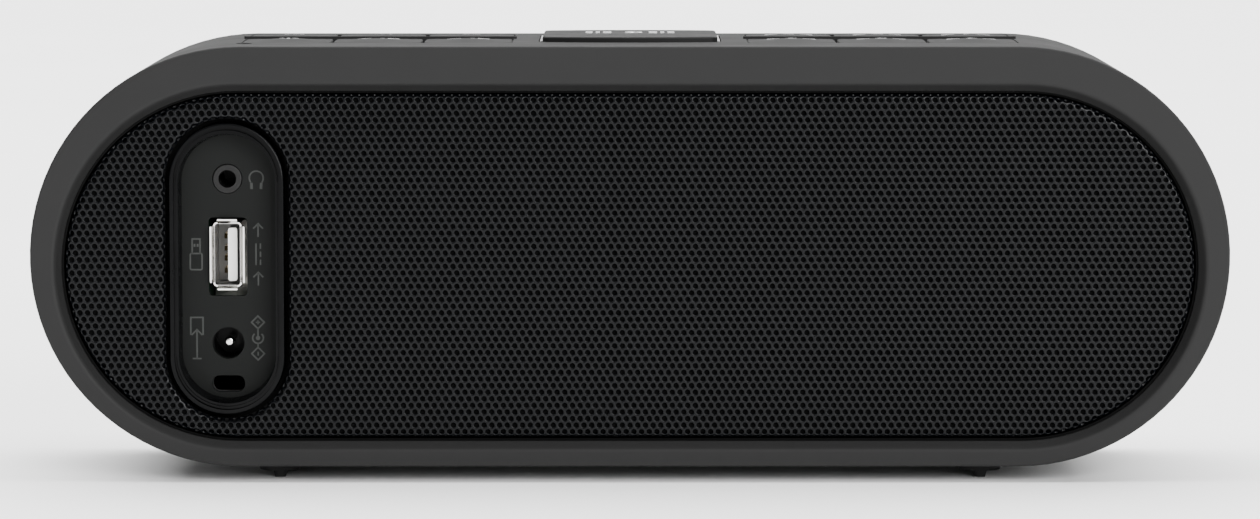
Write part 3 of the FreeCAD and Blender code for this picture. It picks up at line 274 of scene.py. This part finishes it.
# Each look: the values of finish in their order, then the ones that it takes by name.
LOOKS = {
    "sleeve_soft_touch": ((SOFT_BLACK, 0.6, 0.16, 0.004, 14, 0.05), {"specular": 0.1}),
    "key_soft_touch": ((SOFT_BLACK, 0.6, 0.16, 0.004, 9, 0.05), {"specular": 0.1}),
    "inner_plastic": (((0.002, 0.002, 0.002), 0.7, 0.4, 0.02), {"specular": 0.05}),
    "screw_steel": (((0.45, 0.45, 0.46), 0.35, 0.1, 0.004, 2), {"metallic": 1.0}),
    "grille_cloth": (((0.0045, 0.0045, 0.0046), 0.95, 0.25, 0.03, 3, 0.2), {"specular": 0.02}),
    # grille_metal is near-black paint; the blue in its colour is a painted tint standing for the bluish light
    # that it reflects
    "grille_metal": (((0.0009, 0.0011, 0.0016), 0.25, 0.12, 0.002, 6, 0.12), {"specular": 0.14}),
    "port_plastic": (((0.0046, 0.0052, 0.0048), 0.5, 0.14, 0.004, 5, 0.06), {"specular": 0.1}),
    "bright_nickel": (((0.80, 0.79, 0.77), 0.14, 0.5, 0.002, 2, 0.04, 0.05), {"metallic": 1.0}),
    "white_plastic": (((0.82, 0.82, 0.80), 0.35, 0.3, 0.002, 3, 0.03), {}),
    "gold_contacts": (((0.85, 0.62, 0.28), 0.25, 0.2, 0.002, 1), {"metallic": 1.0}),
    "jack_plastic": (((0.002, 0.002, 0.002), 0.35, 0.3, 0.002, 3), {"specular": 0.1}),
    "circuit_board": (((0.012, 0.08, 0.035), 0.35, 0.6, 0.01, 3, 0.3), {}),
    "snooze_plastic": (((0.008, 0.008, 0.008), 0.5, 0.14, 0.003, 8, 0.05), {"specular": 0.12}),
    "light_base": (((0.35, 0.35, 0.35), 0.3, 0.3, 0.003, 4, 0.03), {}),
    "basket_steel": (((0.02, 0.02, 0.02), 0.45, 0.4, 0.01), {}),
    "magnet_steel": (((0.5, 0.49, 0.45), 0.4, 0.3, 0.006, 4), {"metallic": 1.0}),
    "ferrite": (((0.05, 0.05, 0.055), 0.7, 0.5, 0.03, 3, 0.2), {}),
    "surround_rubber": (((0.012, 0.012, 0.012), 0.55, 0.3, 0.004), {}),
    "radiator_metal": (((0.02, 0.02, 0.02), 0.4, 0.2, 0.004, 8), {"stretch": (0.1, 1, 1)}),
    "display_lens": (((0.0015, 0.0015, 0.002), 0.08, 3.0, 0.0, 20, 0.05, 0.03), {"specular": 0.15}),
    "display_glass": (((0.004, 0.005, 0.006), 0.2, 2.0, 0.002), {"specular": 0.1}),
    "components": (((0.02, 0.02, 0.02), 0.5, 0.3, 0.01), {}),
    "tuner_steel": (((0.62, 0.61, 0.58), 0.3, 0.4, 0.006, 4), {"metallic": 1.0}),
    "wire_cover": (((0.35, 0.02, 0.02), 0.4, 0.3, 0.004), {}),
    "ribbon_film": (((0.6, 0.6, 0.56), 0.35, 0.8, 0.01), {"stretch": (1, 1, 0.1)}),
    "foot_rubber": (((0.014, 0.014, 0.014), 0.6, 0.3, 0.006), {"specular": 0.2}),
    "cone_paper": (((0.02, 0.02, 0.02), 0.8, 0.5, 0.03, 4, 0.2), {}),
    "coil_copper": (((0.72, 0.33, 0.18), 0.35, 0.2, 0.02, 2), {"metallic": 1.0}),
    "spider_cloth": (((0.42, 0.27, 0.1), 0.85, 0.35, 0.05, 3, 0.15), {}),
}
MATERIALS = {name: finish(name, *values, **more) for name, (values, more) in LOOKS.items()}
LEGEND_GREY = finish("legend_grey", (0.030, 0.032, 0.030), 0.6, 0.2, 0.002, 3, 0.06, specular=0.2)
LEGEND_WHITE = finish("legend_white", (0.80, 0.80, 0.80), 0.5, 0.2, 0.002, 3, 0.04)
PORT_RING = finish("port_ring", (0.0008, 0.0009, 0.0011), 0.22, 0.14, 0.002, 5, 0.06, specular=0.08)
JACK_RING = finish("jack_ring", (0.007, 0.007, 0.007), 0.38, 0.14, 0.003, 5, 0.06, specular=0.2)
SEGMENT_LIGHT = finish("segment_light", (0.55, 0.75, 0.85), 0.4, 0.2, 0.002, 3, 0.04, emission=2.0)


def shade_slope(material):
    """Paints shade on the sloped edge of each opening: there the sleeve's colour is made darker than on the
    face, for the shade that falls on the slope.
    """
    tree = material.node_tree
    aside = maths(tree, "ABSOLUTE", place_axis(tree, "X"))
    across = maths(tree, "MAXIMUM", maths(tree, "SUBTRACT", aside, GRILLE_HALF), 0.0)
    up = maths(tree, "SUBTRACT", place_axis(tree, "Z"), GRILLE_Z)
    squares = maths(tree, "ADD", maths(tree, "POWER", across, 2.0), maths(tree, "MULTIPLY", up, up))
    far = maths(tree, "SQRT", squares)
    start, end = GRILLE_RADIUS + SLOPE_IN, GRILLE_RADIUS + SLOPE_OUT
    shaded(material, stepped(tree, far, start, end, SLOPE_SHADE, 1.0))


def shade_depth(material, bright_y, dark_y, shade):
    """Darkens a material smoothly from bright_y to dark_y, down to a share of its colour."""
    tree = material.node_tree
    deep = stepped(tree, place_axis(tree, "Y"), min(bright_y, dark_y), max(bright_y, dark_y), 0.0, 1.0)
    if bright_y > dark_y:
        factor = maths(tree, "ADD", maths(tree, "MULTIPLY", deep, 1 - shade), shade)
    else:
        factor = maths(tree, "SUBTRACT", 1.0, maths(tree, "MULTIPLY", deep, 1 - shade))
    shaded(material, factor)


# Where the painted shade on the sloped edge lies, and how dark that painted shade is
SLOPE_IN = 1.9 * MM                   # measured from the rim of the grille
SLOPE_OUT = 2.4 * MM
SLOPE_SHADE = 0.5
TONGUE_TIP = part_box("usb_tongue")[1].y
TONGUE_BRIGHT = 0.4 * MM              # depths behind the tongue's tip, and the painted shade at the second
TONGUE_DARK = 2.5 * MM
TONGUE_SHADE = 0.11
CONTACT_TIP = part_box("usb_contacts")[1].y
CONTACT_BRIGHT = 1.2 * MM             # the same behind the contacts' tips, which are darkened with painted shade
CONTACT_DARK = 0.4 * MM
CONTACT_SHADE = 0.01
# Painted shade on the sleeve's sloped edges
shade_slope(MATERIALS["sleeve_soft_touch"])
# Painted shade: the white plastic in the USB socket grows darker deeper in, as if in the socket's shadow
shade_depth(MATERIALS["white_plastic"], TONGUE_TIP - TONGUE_BRIGHT, TONGUE_TIP - TONGUE_DARK,
            TONGUE_SHADE)
# Painted shade: the gold contacts grow dark towards their tips, as if in shadow
shade_depth(MATERIALS["gold_contacts"], CONTACT_TIP - CONTACT_BRIGHT, CONTACT_TIP - CONTACT_DARK,
            CONTACT_SHADE)
glossier = {"port_surround": PORT_RING, "headphone_jack": JACK_RING}
for part in frame["record"]["subparts"]:
    mesh = nodes[part["node"]].data
    mesh.materials.clear()
    mesh.materials.append(glossier.get(part["node"], MATERIALS[part["material_slot"]]))

# ------------------------------------------------------------------ perforated grilles
PITCH = 1.555 * MM
HOLE_RADIUS = 0.5 * MM
LIP = 0.15 * MM                       # size of the rounded edge round each hole
LIP_MIDDLE = 0.3                      # where the middle of that edge lies, as a share of its size
SHEET = 0.5 * MM
BEND = 1.0 * MM
RETURN = 0.8 * MM                     # straight part of the rim behind the bend
PORT_CLEAR = 0.9 * MM                 # gaps between a cut-out's rim and what stands in it
LENS_CLEAR = 0.4 * MM
LENS_CORNER = 6.4 * MM
STEPS = 12                            # corners of each hole, and points round each cell
WELD = 0.02 * MM                      # points nearer than this are one
GRILLE_PARTS = 4                      # pieces that each grille is divided into
NO_LENGTH = 1e-9                      # keeps a direction from being divided by nothing
NO_DIRECTION = 1e-6


def stadium_distance(x, z, centre, radius, half, upright=False):
    """Signed distance outside a stadium, and the direction away from its middle line."""
    dx, dz = x - centre[0], z - centre[1]
    if upright:
        dz = dz - np.clip(dz, -half, half)
    else:
        dx = dx - np.clip(dx, -half, half)
    length = np.maximum(np.hypot(dx, dz), NO_LENGTH)
    return length - radius, dx / length, dz / length


def box_distance(x, z, centre, half_x, half_z, corner):
    """The same for a box with rounded corners."""
    dx, dz = x - centre[0], z - centre[1]
    qx, qz = np.abs(dx) - (half_x - corner), np.abs(dz) - (half_z - corner)
    outside = np.hypot(np.maximum(qx, 0), np.maximum(qz, 0))
    distance = outside + np.minimum(np.maximum(qx, qz), 0) - corner
    gx = np.where(qx > 0, np.maximum(qx, 0), np.where(qz > 0, 0, (qx > qz) * 1.0)) * np.sign(dx)
    gz = np.where(qz > 0, np.maximum(qz, 0), np.where(qx > 0, 0, (qz >= qx) * 1.0)) * np.sign(dz)
    length = np.maximum(np.hypot(gx, gz), NO_DIRECTION)
    return distance, gx / length, gz / length


def outer_rim(x, z):
    return stadium_distance(x, z, (0, GRILLE_Z), GRILLE_RADIUS - BEND, GRILLE_HALF)


def port_rim(x, z):
    radius = PORT_RADIUS + PORT_CLEAR + BEND
    centre = middle("port_surround")
    distance, ux, uz = stadium_distance(x, z, (centre.x, centre.z), radius, PORT_HALF, True)
    return -distance, -ux, -uz


def lens_rim(x, z):
    clear = LENS_CLEAR + BEND
    centre = ((LENS_LOW.x + LENS_HIGH.x) / 2, (LENS_LOW.z + LENS_HIGH.z) / 2)
    half_x, half_z = (LENS_HIGH.x - LENS_LOW.x) / 2 + clear, (LENS_HIGH.z - LENS_LOW.z) / 2 + clear
    distance, ux, uz = box_distance(x, z, centre, half_x, half_z, LENS_CORNER + BEND)
    return -distance, -ux, -uz


def bent(x, z, drop, rims):
    """Bends the flat sheet backwards at each rim. drop is how deep each point lies in it."""
    depth = drop.copy()
    out_x, out_z = x.copy(), z.copy()
    for rim in rims:
        s, ux, uz = rim(x, z)
        s = np.maximum(s, 0)
        angle = np.minimum(s / BEND, math.pi / 2)
        radius = BEND - drop
        side = radius * np.sin(angle) - s
        moved = s > 0
        out_x = np.where(moved, out_x + ux * side, out_x)
        out_z = np.where(moved, out_z + uz * side, out_z)
        back = BEND - radius * np.cos(angle) + np.maximum(s - BEND * math.pi / 2, 0)
        depth = np.where(moved, back, depth)
    return out_x, out_z, depth


def perforated(name, face_y, back, rims, x_low, x_high):
    """The cells of a perforated sheet whose centres lie between two x. back is +1 or -1, the
    way that the sheet bends. Cells share the points of their hexagons."""
    row = PITCH * math.sqrt(3) / 2
    count_z = int(GRILLE_RADIUS / row) + 2
    count_x = int((GRILLE_HALF + GRILLE_RADIUS) / PITCH) + 2
    j, i = np.meshgrid(np.arange(-count_z, count_z + 1), np.arange(-count_x, count_x + 1))
    cx = (i + (j % 2) * 0.5) * PITCH
    cz = GRILLE_Z + j * row
    cx, cz = cx.ravel(), cz.ravel()
    reach = BEND * math.pi / 2 + RETURN
    keep = (cx >= x_low) & (cx < x_high)
    for rim in rims:
        keep &= rim(cx, cz)[0] < reach
    cx, cz = cx[keep], cz[keep]
    angles = np.arange(STEPS) * 2 * math.pi / STEPS
    corner = np.where(np.arange(STEPS) % 2 == 1, PITCH / math.sqrt(3), PITCH / 2)
    rings = [(corner, 0.0), (HOLE_RADIUS + LIP, 0.0), (HOLE_RADIUS + LIP * LIP_MIDDLE, LIP * LIP_MIDDLE),
             (HOLE_RADIUS, LIP), (HOLE_RADIUS, SHEET)]
    xs = np.stack([cx[:, None] + r * np.cos(angles) for r, d in rings], 1)
    zs = np.stack([cz[:, None] + r * np.sin(angles) for r, d in rings], 1)
    drops = np.stack([np.full((len(cx), STEPS), d) for r, d in rings], 1)
    xs, zs, drops = xs.ravel(), zs.ravel(), drops.ravel()
    px, pz, depth = bent(xs, zs, drops, rims)
    points = np.stack([px, face_y + back * depth, pz], 1)
    key = np.round(np.stack([xs, zs, drops], 1) / WELD).astype(np.int64)
    unique, first, inverse = np.unique(key, axis=0, return_index=True, return_inverse=True)
    inverse = inverse.reshape(len(cx), len(rings), STEPS)
    faces = []
    order = np.arange(STEPS)
    after = (order + 1) % STEPS
    for ring in range(len(rings) - 1):
        a, b = inverse[:, ring][:, order], inverse[:, ring][:, after]
        c, d = inverse[:, ring + 1][:, after], inverse[:, ring + 1][:, order]
        quad = (d, c, b, a) if back < 0 else (a, b, c, d)
        faces.append(np.stack(quad, -1).reshape(-1, 4))
    return new_object(name, points[first], np.concatenate(faces).tolist())


def make_grille(node, face_y, back, rims):
    """Each cell goes to the part of the grille that its centre lies in."""
    edge = GRILLE_HALF + GRILLE_RADIUS
    cuts = np.linspace(-edge, edge, GRILLE_PARTS + 1) - PITCH / 4
    cuts[-1] = edge * 2
    for number in range(GRILLE_PARTS):
        piece = perforated(f"{node}_{number + 1}", face_y, back, rims, cuts[number], cuts[number + 1])
        settle(piece, "cabinet", "grille_metal", MATERIALS["grille_metal"], node)


make_grille("rear_grille", GRILLE_HIGH.y, -1, [outer_rim, port_rim])
make_grille("front_grille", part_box("front_grille")[0].y, 1, [outer_rim, lens_rim])

# ------------------------------------------------------------------ keys
KEY_CROWN = 0.52 * MM                 # height of a key's dome
KEY_FLANGE = 0.5 * MM                 # how far the hidden flange reaches past the cap, front and back
FLANGE_SHEET = 0.9 * MM
FLANGE_DROP = 2.5 * MM                # from the top of the sleeve to the flange
FLANGE_INSET = 2.0 * MM
STEM_RADIUS = 1.5 * MM
KEY_BEVEL = 0.12 * MM
OUTLINE_POWER = 9.0                   # how square the outline of a key is
KEY_STEPS = 96
KEY_SHARP = math.radians(50)          # edges that turn more than this stay sharp
KEY_RINGS = (0.0, 0.12, 0.24, 0.36, 0.48, 0.58, 0.68, 0.76, 0.84, 0.9, 0.95)


def key_sizes(node):
    low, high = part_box(node)
    centre = (low + high) / 2
    return centre, (high.x - low.x) / 2, (high.y - low.y) / 2 - KEY_FLANGE, low.z


def dome(u, v, half_x, half_y):
    """Height of a key's soft dome, which dies away before the edges."""
    a, b = min(abs(u / half_x), 1), min(abs(v / half_y), 1)
    return KEY_CROWN * ((1 - a * a) * (1 - b * b)) ** 2


def key_outline(half_x, half_y):
    """Points round a key, which is a rectangle with soft corners."""
    points = []
    for angle in turns(KEY_STEPS):
        c, s = math.cos(angle), math.sin(angle)
        span = abs(c / half_x) ** OUTLINE_POWER + abs(s / half_y) ** OUTLINE_POWER
        reach = span ** (-1 / OUTLINE_POWER)
        points.append((reach * c, reach * s))
    return points


def make_key(node):
    centre, half_x, half_y, stem_foot = key_sizes(node)
    outline = key_outline(half_x, half_y)
    bevel = 1 - KEY_BEVEL / half_y
    vertices, faces = [], []
    bottom = TOP_Z - FLANGE_DROP
    rings = [(scale, None) for scale in KEY_RINGS[1:] + (bevel,)]
    rings += [(1.0, TOP_Z - KEY_BEVEL), (1.0, bottom)]
    vertices.append((centre.x, centre.y, TOP_Z + KEY_CROWN))
    for scale, z in rings:
        for u, v in outline:
            height = TOP_Z + dome(u * scale, v * scale, half_x, half_y) if z is None else z
            vertices.append((centre.x + u * scale, centre.y + v * scale, height))
    around = range(KEY_STEPS)
    faces += [(0, 1 + i, 1 + (i + 1) % KEY_STEPS) for i in around]
    for ring in range(len(rings) - 1):
        a, b = 1 + ring * KEY_STEPS, 1 + (ring + 1) * KEY_STEPS
        faces += [(a + i, b + i, b + (i + 1) % KEY_STEPS, a + (i + 1) % KEY_STEPS) for i in around]
    last = 1 + (len(rings) - 1) * KEY_STEPS
    faces.append(tuple(last + i for i in around))
    w, d = half_x - FLANGE_INSET, half_y + KEY_FLANGE
    low = (centre.x - w, centre.y - d, bottom - FLANGE_SHEET)
    add_box(vertices, faces, low, (centre.x + w, centre.y + d, bottom))
    add_rod(vertices, faces, centre.x, centre.y, stem_foot, bottom - FLANGE_SHEET / 2, STEM_RADIUS)
    piece = new_object(node + "_cap", vertices, faces, outward=True)
    piece.data.set_sharp_from_angle(angle=KEY_SHARP)
    settle(piece, node, "key_soft_touch", MATERIALS["key_soft_touch"], node)


for key in KEYS:
    make_key(key)

# ------------------------------------------------------------------ printed symbols
INK = 0.025 * MM                      # how far the ink stands out
FINE = 0.5                            # longest straight piece of a printed line, in millimetres
SHARPEST_MITRE = 0.4                  # the least cosine that a corner's mitre is made for


def arc(x, y, radius, start, end, steps=20):
    """Points on an arc, in millimetres, between two angles in degrees."""
    angles = [math.radians(start + (end - start) * i / steps) for i in range(steps + 1)]
    return [(x + radius * math.cos(a), y + radius * math.sin(a)) for a in angles]


def bar(x0, y0, x1, y1, width):
    return ([(x0, y0), (x1, y1)], width, False)


def finely(points, closed):
    """The same line with points no further apart than FINE."""
    ends = points[1:] + points[:1] if closed else points[1:]
    out = []
    for a, b in zip(points, ends):
        count = max(1, math.ceil(math.dist(a, b) / FINE))
        out += [(a[0] + (b[0] - a[0]) * i / count, a[1] + (b[1] - a[1]) * i / count) for i in range(count)]
    return out if closed else out + [points[-1]]


def sides(points, width, closed):
    """The two edges of a line of one width, mitred at its corners."""
    flat = [Vector(p) for p in points]
    count = len(flat)
    edges = []
    for i, here in enumerate(flat):
        ways = []
        if closed or i > 0:
            ways.append((here - flat[i - 1]).normalized())
        if closed or i < count - 1:
            ways.append((flat[(i + 1) % count] - here).normalized())
        way = (ways[0] + ways[-1]).normalized()
        across = Vector((-way.y, way.x)) * (width / 2 / max(SHARPEST_MITRE, way.dot(ways[0])))
        edges.append((here + across, here - across))
    return edges


def printed(name, strokes, place, body, slot, material):
    """Thin raised lines. place puts a flat point in millimetres, at a height, on the object."""
    vertices, faces = [], []
    for points, width, closed in strokes:
        base = len(vertices)
        edges = sides(finely(points, closed), width, closed)
        for left, right in edges:
            vertices += [place(*left, INK), place(*right, INK), place(*right, -INK), place(*left, -INK)]
        count = len(edges)
        for i in range(count if closed else count - 1):
            a, b = base + 4 * i, base + 4 * ((i + 1) % count)
            faces += [(a + k, b + k, b + (k + 1) % 4, a + (k + 1) % 4) for k in range(4)]
        if not closed:
            end = base + 4 * (count - 1)
            faces += [(base, base + 1, base + 2, base + 3), (end, end + 1, end + 2, end + 3)]
    piece = new_object(name, vertices, faces, smooth=False, outward=True)
    return settle(piece, body, slot, material)


def disc(x, y, radius):
    """A filled dot, drawn as a ring whose line reaches its middle."""
    return (arc(x, y, radius / 2, 0, 342, 19), radius * 0.98, True)


# Lines of each numeral, as shares of its height.
DIGIT_MIDDLE = (0.31, 0.5)
DIGITS = {
    "1": [[(0.12, 0.8), (0.36, 1), (0.36, 0)]],
    "2": [[(0, 0.8), (0.08, 0.94), (0.3, 1), (0.52, 0.94), (0.6, 0.75), (0.5, 0.55), (0, 0), (0.62, 0)]],
    "3": [[(0, 0.93), (0.3, 1), (0.55, 0.9), (0.55, 0.64), (0.25, 0.54)],
          [(0.25, 0.54), (0.6, 0.42), (0.6, 0.12), (0.3, 0), (0, 0.08)]],
    "4": [[(0.46, 0), (0.46, 1), (0, 0.3), (0.64, 0.3)]],
    "5": [[(0.56, 1), (0.08, 1), (0.05, 0.56), (0.35, 0.6), (0.6, 0.45), (0.6, 0.15), (0.32, 0), (0, 0.08)]],
    "6": [[(0.52, 0.96), (0.25, 0.9), (0.04, 0.55), (0.03, 0.2), (0.28, 0), (0.55, 0.1), (0.6, 0.36),
           (0.4, 0.58), (0.1, 0.5)]],
}


def digit(character, x, y, height, width):
    """Strokes of one numeral whose middle is at (x, y)."""
    mx, my = DIGIT_MIDDLE
    return [([(x + (px - mx) * height, y + (py - my) * height) for px, py in line], width, False)
            for line in DIGITS[character]]


def rounded_frame(width, height, corner, line):
    """The outline of a rectangle with round corners, about (0, 0)."""
    w, h = width / 2 - corner, height / 2 - corner
    points = arc(w, h, corner, 0, 90, 5) + arc(-w, h, corner, 90, 180, 5)
    points += arc(-w, -h, corner, 180, 270, 5) + arc(w, -h, corner, 270, 360, 5)
    return (points, line, True)


KEY_LINE = 0.62                       # widths and heights of the print on the keys, in millimetres
MARK_WIDTH = 1.4
PRESET_HEIGHT = 3.2
PRESET_LINE = 0.55


def chevron(x, size, way, line):
    return ([(x, size), (x + way * size, 0), (x, -size)], line, False)


def speaker_symbol(x, line):
    upper = [(x - 1.7, 0.55), (x - 0.9, 0.55), (x, 1.3)]
    return [(upper + [(px, -py) for px, py in reversed(upper)], line, True)]


def key_symbols():
    """The strokes on each key, in millimetres about its middle."""
    line = KEY_LINE
    symbols = {
        "key_power": [(arc(0, 0, 1.7, 125, 415), line, False), bar(0, 0.5, 0, 2.5, line)],
        "key_volume_up": speaker_symbol(-2.2, line) + [(arc(-2.2, 0, 1.6, -40, 40, 8), line, False),
                                                       bar(1.6, 0, 4.4, 0, line), bar(3, -1.4, 3, 1.4, line)],
        "key_volume_down": speaker_symbol(-2.2, line) + [(arc(-2.2, 0, 1.6, -40, 40, 8), line, False),
                                                         bar(1.6, 0, 4.4, 0, line)],
        "key_tune_up": [chevron(-1.6, 1.2, 1, line), chevron(0.2, 1.2, 1, line)],
        "key_tune_down": [chevron(1.6, 1.2, -1, line), chevron(-0.2, 1.2, -1, line)],
        "key_menu": [bar(-2, y, 2, y, line) for y in (-1.1, 0, 1.1)],
    }
    marks = [bar(side * 2.4, 0, side * 5.0, 0, MARK_WIDTH) for side in (-1, 1)]
    for number in "123456":
        symbols["key_preset_" + number] = marks + digit(number, 0, 0, PRESET_HEIGHT, PRESET_LINE)
    return symbols


LEGEND_SHIFT = -2.2                   # millimetres towards the front of each key
for key, strokes in key_symbols().items():
    centre, half_x, half_y, _ = key_sizes(key)

    def on_key(u, v, lift, centre=centre, half_x=half_x, half_y=half_y):
        u, v = u * MM, (v + LEGEND_SHIFT) * MM
        return (centre.x + u, centre.y + v, TOP_Z + dome(u, v, half_x, half_y) + lift)
    printed(key + "_symbol", strokes, on_key, key, "key_soft_touch", LEGEND_WHITE)


def snooze_symbol():
    """A crescent between two rows of short bars."""
    moon = arc(0, 0, 2.3, 70, 290, 24) + arc(1.5, 0, 2.1, 250, 110, 16)
    strokes = [(moon, 0.5, True)]
    for y in (-2.2, 2.2):
        for start, end in ((3.9, 5.6), (6.3, 7.1), (7.8, 9.2)):
            strokes += [bar(side * start, y, side * end, y, 1.3) for side in (-1, 1)]
    return strokes


SNOOZE_SHIFT = -4.6                   # millimetres towards the front
SNOOZE = middle("snooze_bar")
SNOOZE_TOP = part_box("snooze_bar")[1].z
printed("snooze_symbol", snooze_symbol(),
        lambda u, v, lift: (SNOOZE.x + u * MM, SNOOZE.y + (v + SNOOZE_SHIFT) * MM, SNOOZE_TOP + lift),
        "snooze", "snooze_plastic", LEGEND_WHITE)


def on_panel(node, across, up):
    """Symbols on the port panel stand on end: u runs up, v towards +X, from beside a socket."""
    centre = middle(node)

    def place(u, v, lift):
        return (centre.x + (across + v) * MM, PANEL_Y + lift, centre.z + (up + u) * MM)
    return place


def headphone_symbol(line):
    pads = [bar(-0.5, side * 1.0, -1.8, side * 0.95, 0.55) for side in (-1, 1)]
    return [(arc(0.45, 0, 1.42, -128, 128, 24), line, False)] + pads


def plug_symbol(line):
    """A plug seen from above: its body, its mouth and two square holes."""
    body = rounded_frame(3.3, 2.4, 0.3, line)
    return [([(x - 1.5, y) for x, y in body[0]], line, True),
            ([(0.15, 0.8), (3.1, 0.8), (3.1, -0.8), (0.15, -0.8)], line, False),
            bar(1.5, 0.32, 2.1, 0.32, 0.4), bar(1.5, -0.32, 2.1, -0.32, 0.4)]


def direct_current_symbol(line):
    """A line over three dashes, between two arrows."""
    strokes = [bar(-2.2, 0.45, 2.2, 0.45, line)]
    strokes += [bar(x - 0.55, -0.45, x + 0.55, -0.45, line) for x in (-1.65, 0, 1.65)]
    for x in (-6.4, 3.5):
        strokes += [bar(x, 0, x + 2.6, 0, line), chevron(x + 1.7, 1.0, 1, line)]
    return strokes


def input_symbol(line):
    """An arrow into an open box."""
    return [bar(-4.2, 0, 1.6, 0, line), chevron(0.6, 1.1, 1, line),
            ([(0.6, 1.25), (4.2, 1.25), (4.2, -1.25), (0.6, -1.25)], line, False),
            bar(-4.2, -0.9, -4.2, 0.9, line)]


def polarity_symbol(line):
    """The usual sign for a barrel plug: a diamond at each end and the round contact between."""
    strokes = []
    for x in (-3.2, 3.2):
        strokes.append(([(x - 1.3, 0), (x, 1.3), (x + 1.3, 0), (x, -1.3)], line, True))
        strokes.append(bar(x - 0.4, 0, x + 0.4, 0, line * 0.8))
    strokes.append(bar(3.2, -0.4, 3.2, 0.4, line * 0.8))
    strokes += [(arc(0, 0, 1.1, 40, 320, 20), line, False), disc(0, 0, 0.45)]
    strokes += [bar(-1.9, 0, -1.1, 0, line), bar(0.4, 0, 1.9, 0, line)]
    return strokes


PANEL_LINE = 0.32                     # width of the print on the port panel, in millimetres
for name, strokes, place in (
        ("headphone_symbol", headphone_symbol(PANEL_LINE), on_panel("headphone_jack", -5.8, -0.3)),
        ("plug_symbol", plug_symbol(PANEL_LINE), on_panel("usb_shell", 6.4, 0)),
        ("direct_current_symbol", direct_current_symbol(PANEL_LINE), on_panel("usb_shell", -6.2, 0)),
        ("input_symbol", input_symbol(PANEL_LINE), on_panel("dc_pin", 6.4, 1.0)),
        ("polarity_symbol", polarity_symbol(PANEL_LINE), on_panel("dc_pin", -6.0, 1.0))):
    printed(name, strokes, place, "cabinet", "port_plastic", LEGEND_GREY)

# ------------------------------------------------------------------ clock digits on the lens
# Ends of each segment, as shares of the digit's width and height.
SEGMENTS = {"a": (0, 1, 1, 1), "b": (1, 0.5, 1, 1), "c": (1, 0, 1, 0.5), "d": (0, 0, 1, 0),
            "e": (0, 0, 0, 0.5), "f": (0, 0.5, 0, 1), "g": (0, 0.5, 1, 0.5)}
LIT = {"0": "abcdef", "1": "bc", "2": "abged"}
CLOCK = "1200"
DIGIT_WIDTH, DIGIT_HEIGHT, SEGMENT_WIDTH, DIGIT_STEP = 6.6, 12.5, 1.5, 11.0   # millimetres
PAIR_SHIFT = 1.2                      # moves each pair of digits away from the dots
UPRIGHT_GAP = 0.12                    # gaps between segments, as shares of the digit
LEVEL_GAP = 0.14
SLANT = 0.1
DOTS = (0.3, 2.6, 0.8)                # how far right, how far up and down, and their radius


def clock_strokes():
    """Four numerals of seven slanting segments and the two dots between the pairs."""
    strokes = []
    for place, character in enumerate(CLOCK):
        left = (place - 1.5) * DIGIT_STEP - DIGIT_WIDTH / 2 + (PAIR_SHIFT if place > 1 else -PAIR_SHIFT)
        for segment in LIT[character]:
            x0, z0, x1, z1 = SEGMENTS[segment]
            gap = UPRIGHT_GAP if x0 == x1 else 0.0
            low, high = (z0 + gap * 0.5) * DIGIT_HEIGHT, (z1 - gap * 0.5) * DIGIT_HEIGHT
            start = LEVEL_GAP if x0 != x1 else 0
            ends = [(left + (x0 + start) * DIGIT_WIDTH, low), (left + (x1 - start) * DIGIT_WIDTH, high)]
            slanted = [(x + z * SLANT, z - DIGIT_HEIGHT / 2) for x, z in ends]
            strokes.append((slanted, SEGMENT_WIDTH, False))
    right, up, radius = DOTS
    return strokes + [disc(right, side * up, radius) for side in (-1, 1)]


GLASS = middle("display_glass")
printed("clock_digits", clock_strokes(),
        lambda u, v, lift: (GLASS.x + u * MM, LENS_LOW.y - lift, GLASS.z + v * MM),
        "cabinet", "display_glass", SEGMENT_LIGHT)

# ------------------------------------------------------------------ stage, light and camera
CAMERA_DISTANCE = 1.040               # from the rear face
CAMERA_HEIGHT = 0.1413
CAMERA_LENS = 148.1
CAMERA_TILT = 5.27                    # degrees below level
FLOOR_REACH = 6
SKY_STRENGTH = 0.35


def make_camera():
    camera = bpy.data.cameras.new("camera")
    camera.sensor_width = 36
    camera.lens = CAMERA_LENS
    holder = bpy.data.objects.new("camera", camera)
    bpy.context.scene.collection.objects.link(holder)
    holder.location = (0, REAR_Y + CAMERA_DISTANCE, CAMERA_HEIGHT)
    holder.rotation_euler = (math.radians(90 - CAMERA_TILT), 0, math.radians(180))
    bpy.context.scene.camera = holder


def area_light(name, place, target, size, power):
    light = bpy.data.lights.new(name, "AREA")
    light.shape = "RECTANGLE"
    light.size, light.size_y = size
    light.energy = power
    holder = bpy.data.objects.new(name, light)
    bpy.context.scene.collection.objects.link(holder)
    holder.location = place
    holder.rotation_euler = (Vector(target) - Vector(place)).to_track_quat("-Z", "Y").to_euler()


def make_stage():
    corners = [(x * FLOOR_REACH, y * FLOOR_REACH, 0) for x, y in ((-1, -1), (1, -1), (1, 1), (-1, 1))]
    floor = new_object("floor", corners, [(0, 1, 2, 3)], False)
    floor.data.materials.append(finish("floor_paper", (0.9, 0.9, 0.9), 0.9, 2.0, 0.01, 200, 0.01))
    world = bpy.data.worlds.new("studio")
    bpy.context.scene.world = world
    world.use_nodes = True
    sky = world.node_tree.nodes["Background"]
    sky.inputs["Color"].default_value = (1, 1, 1, 1)
    sky.inputs["Strength"].default_value = SKY_STRENGTH
    target = (0, 0, GRILLE_Z)
    area_light("softbox_top", (0, -1.2, 2.4), (0, -1.2, 0), (6.0, 4.0), 520)
    area_light("softbox_front", (-1.1, 2.0, 0.95), target, (1.7, 1.2), 95)
    area_light("softbox_low", (0, -2.6, 0.25), (0, 0, 0.02), (4.0, 0.4), 10)


make_camera()
make_stage()
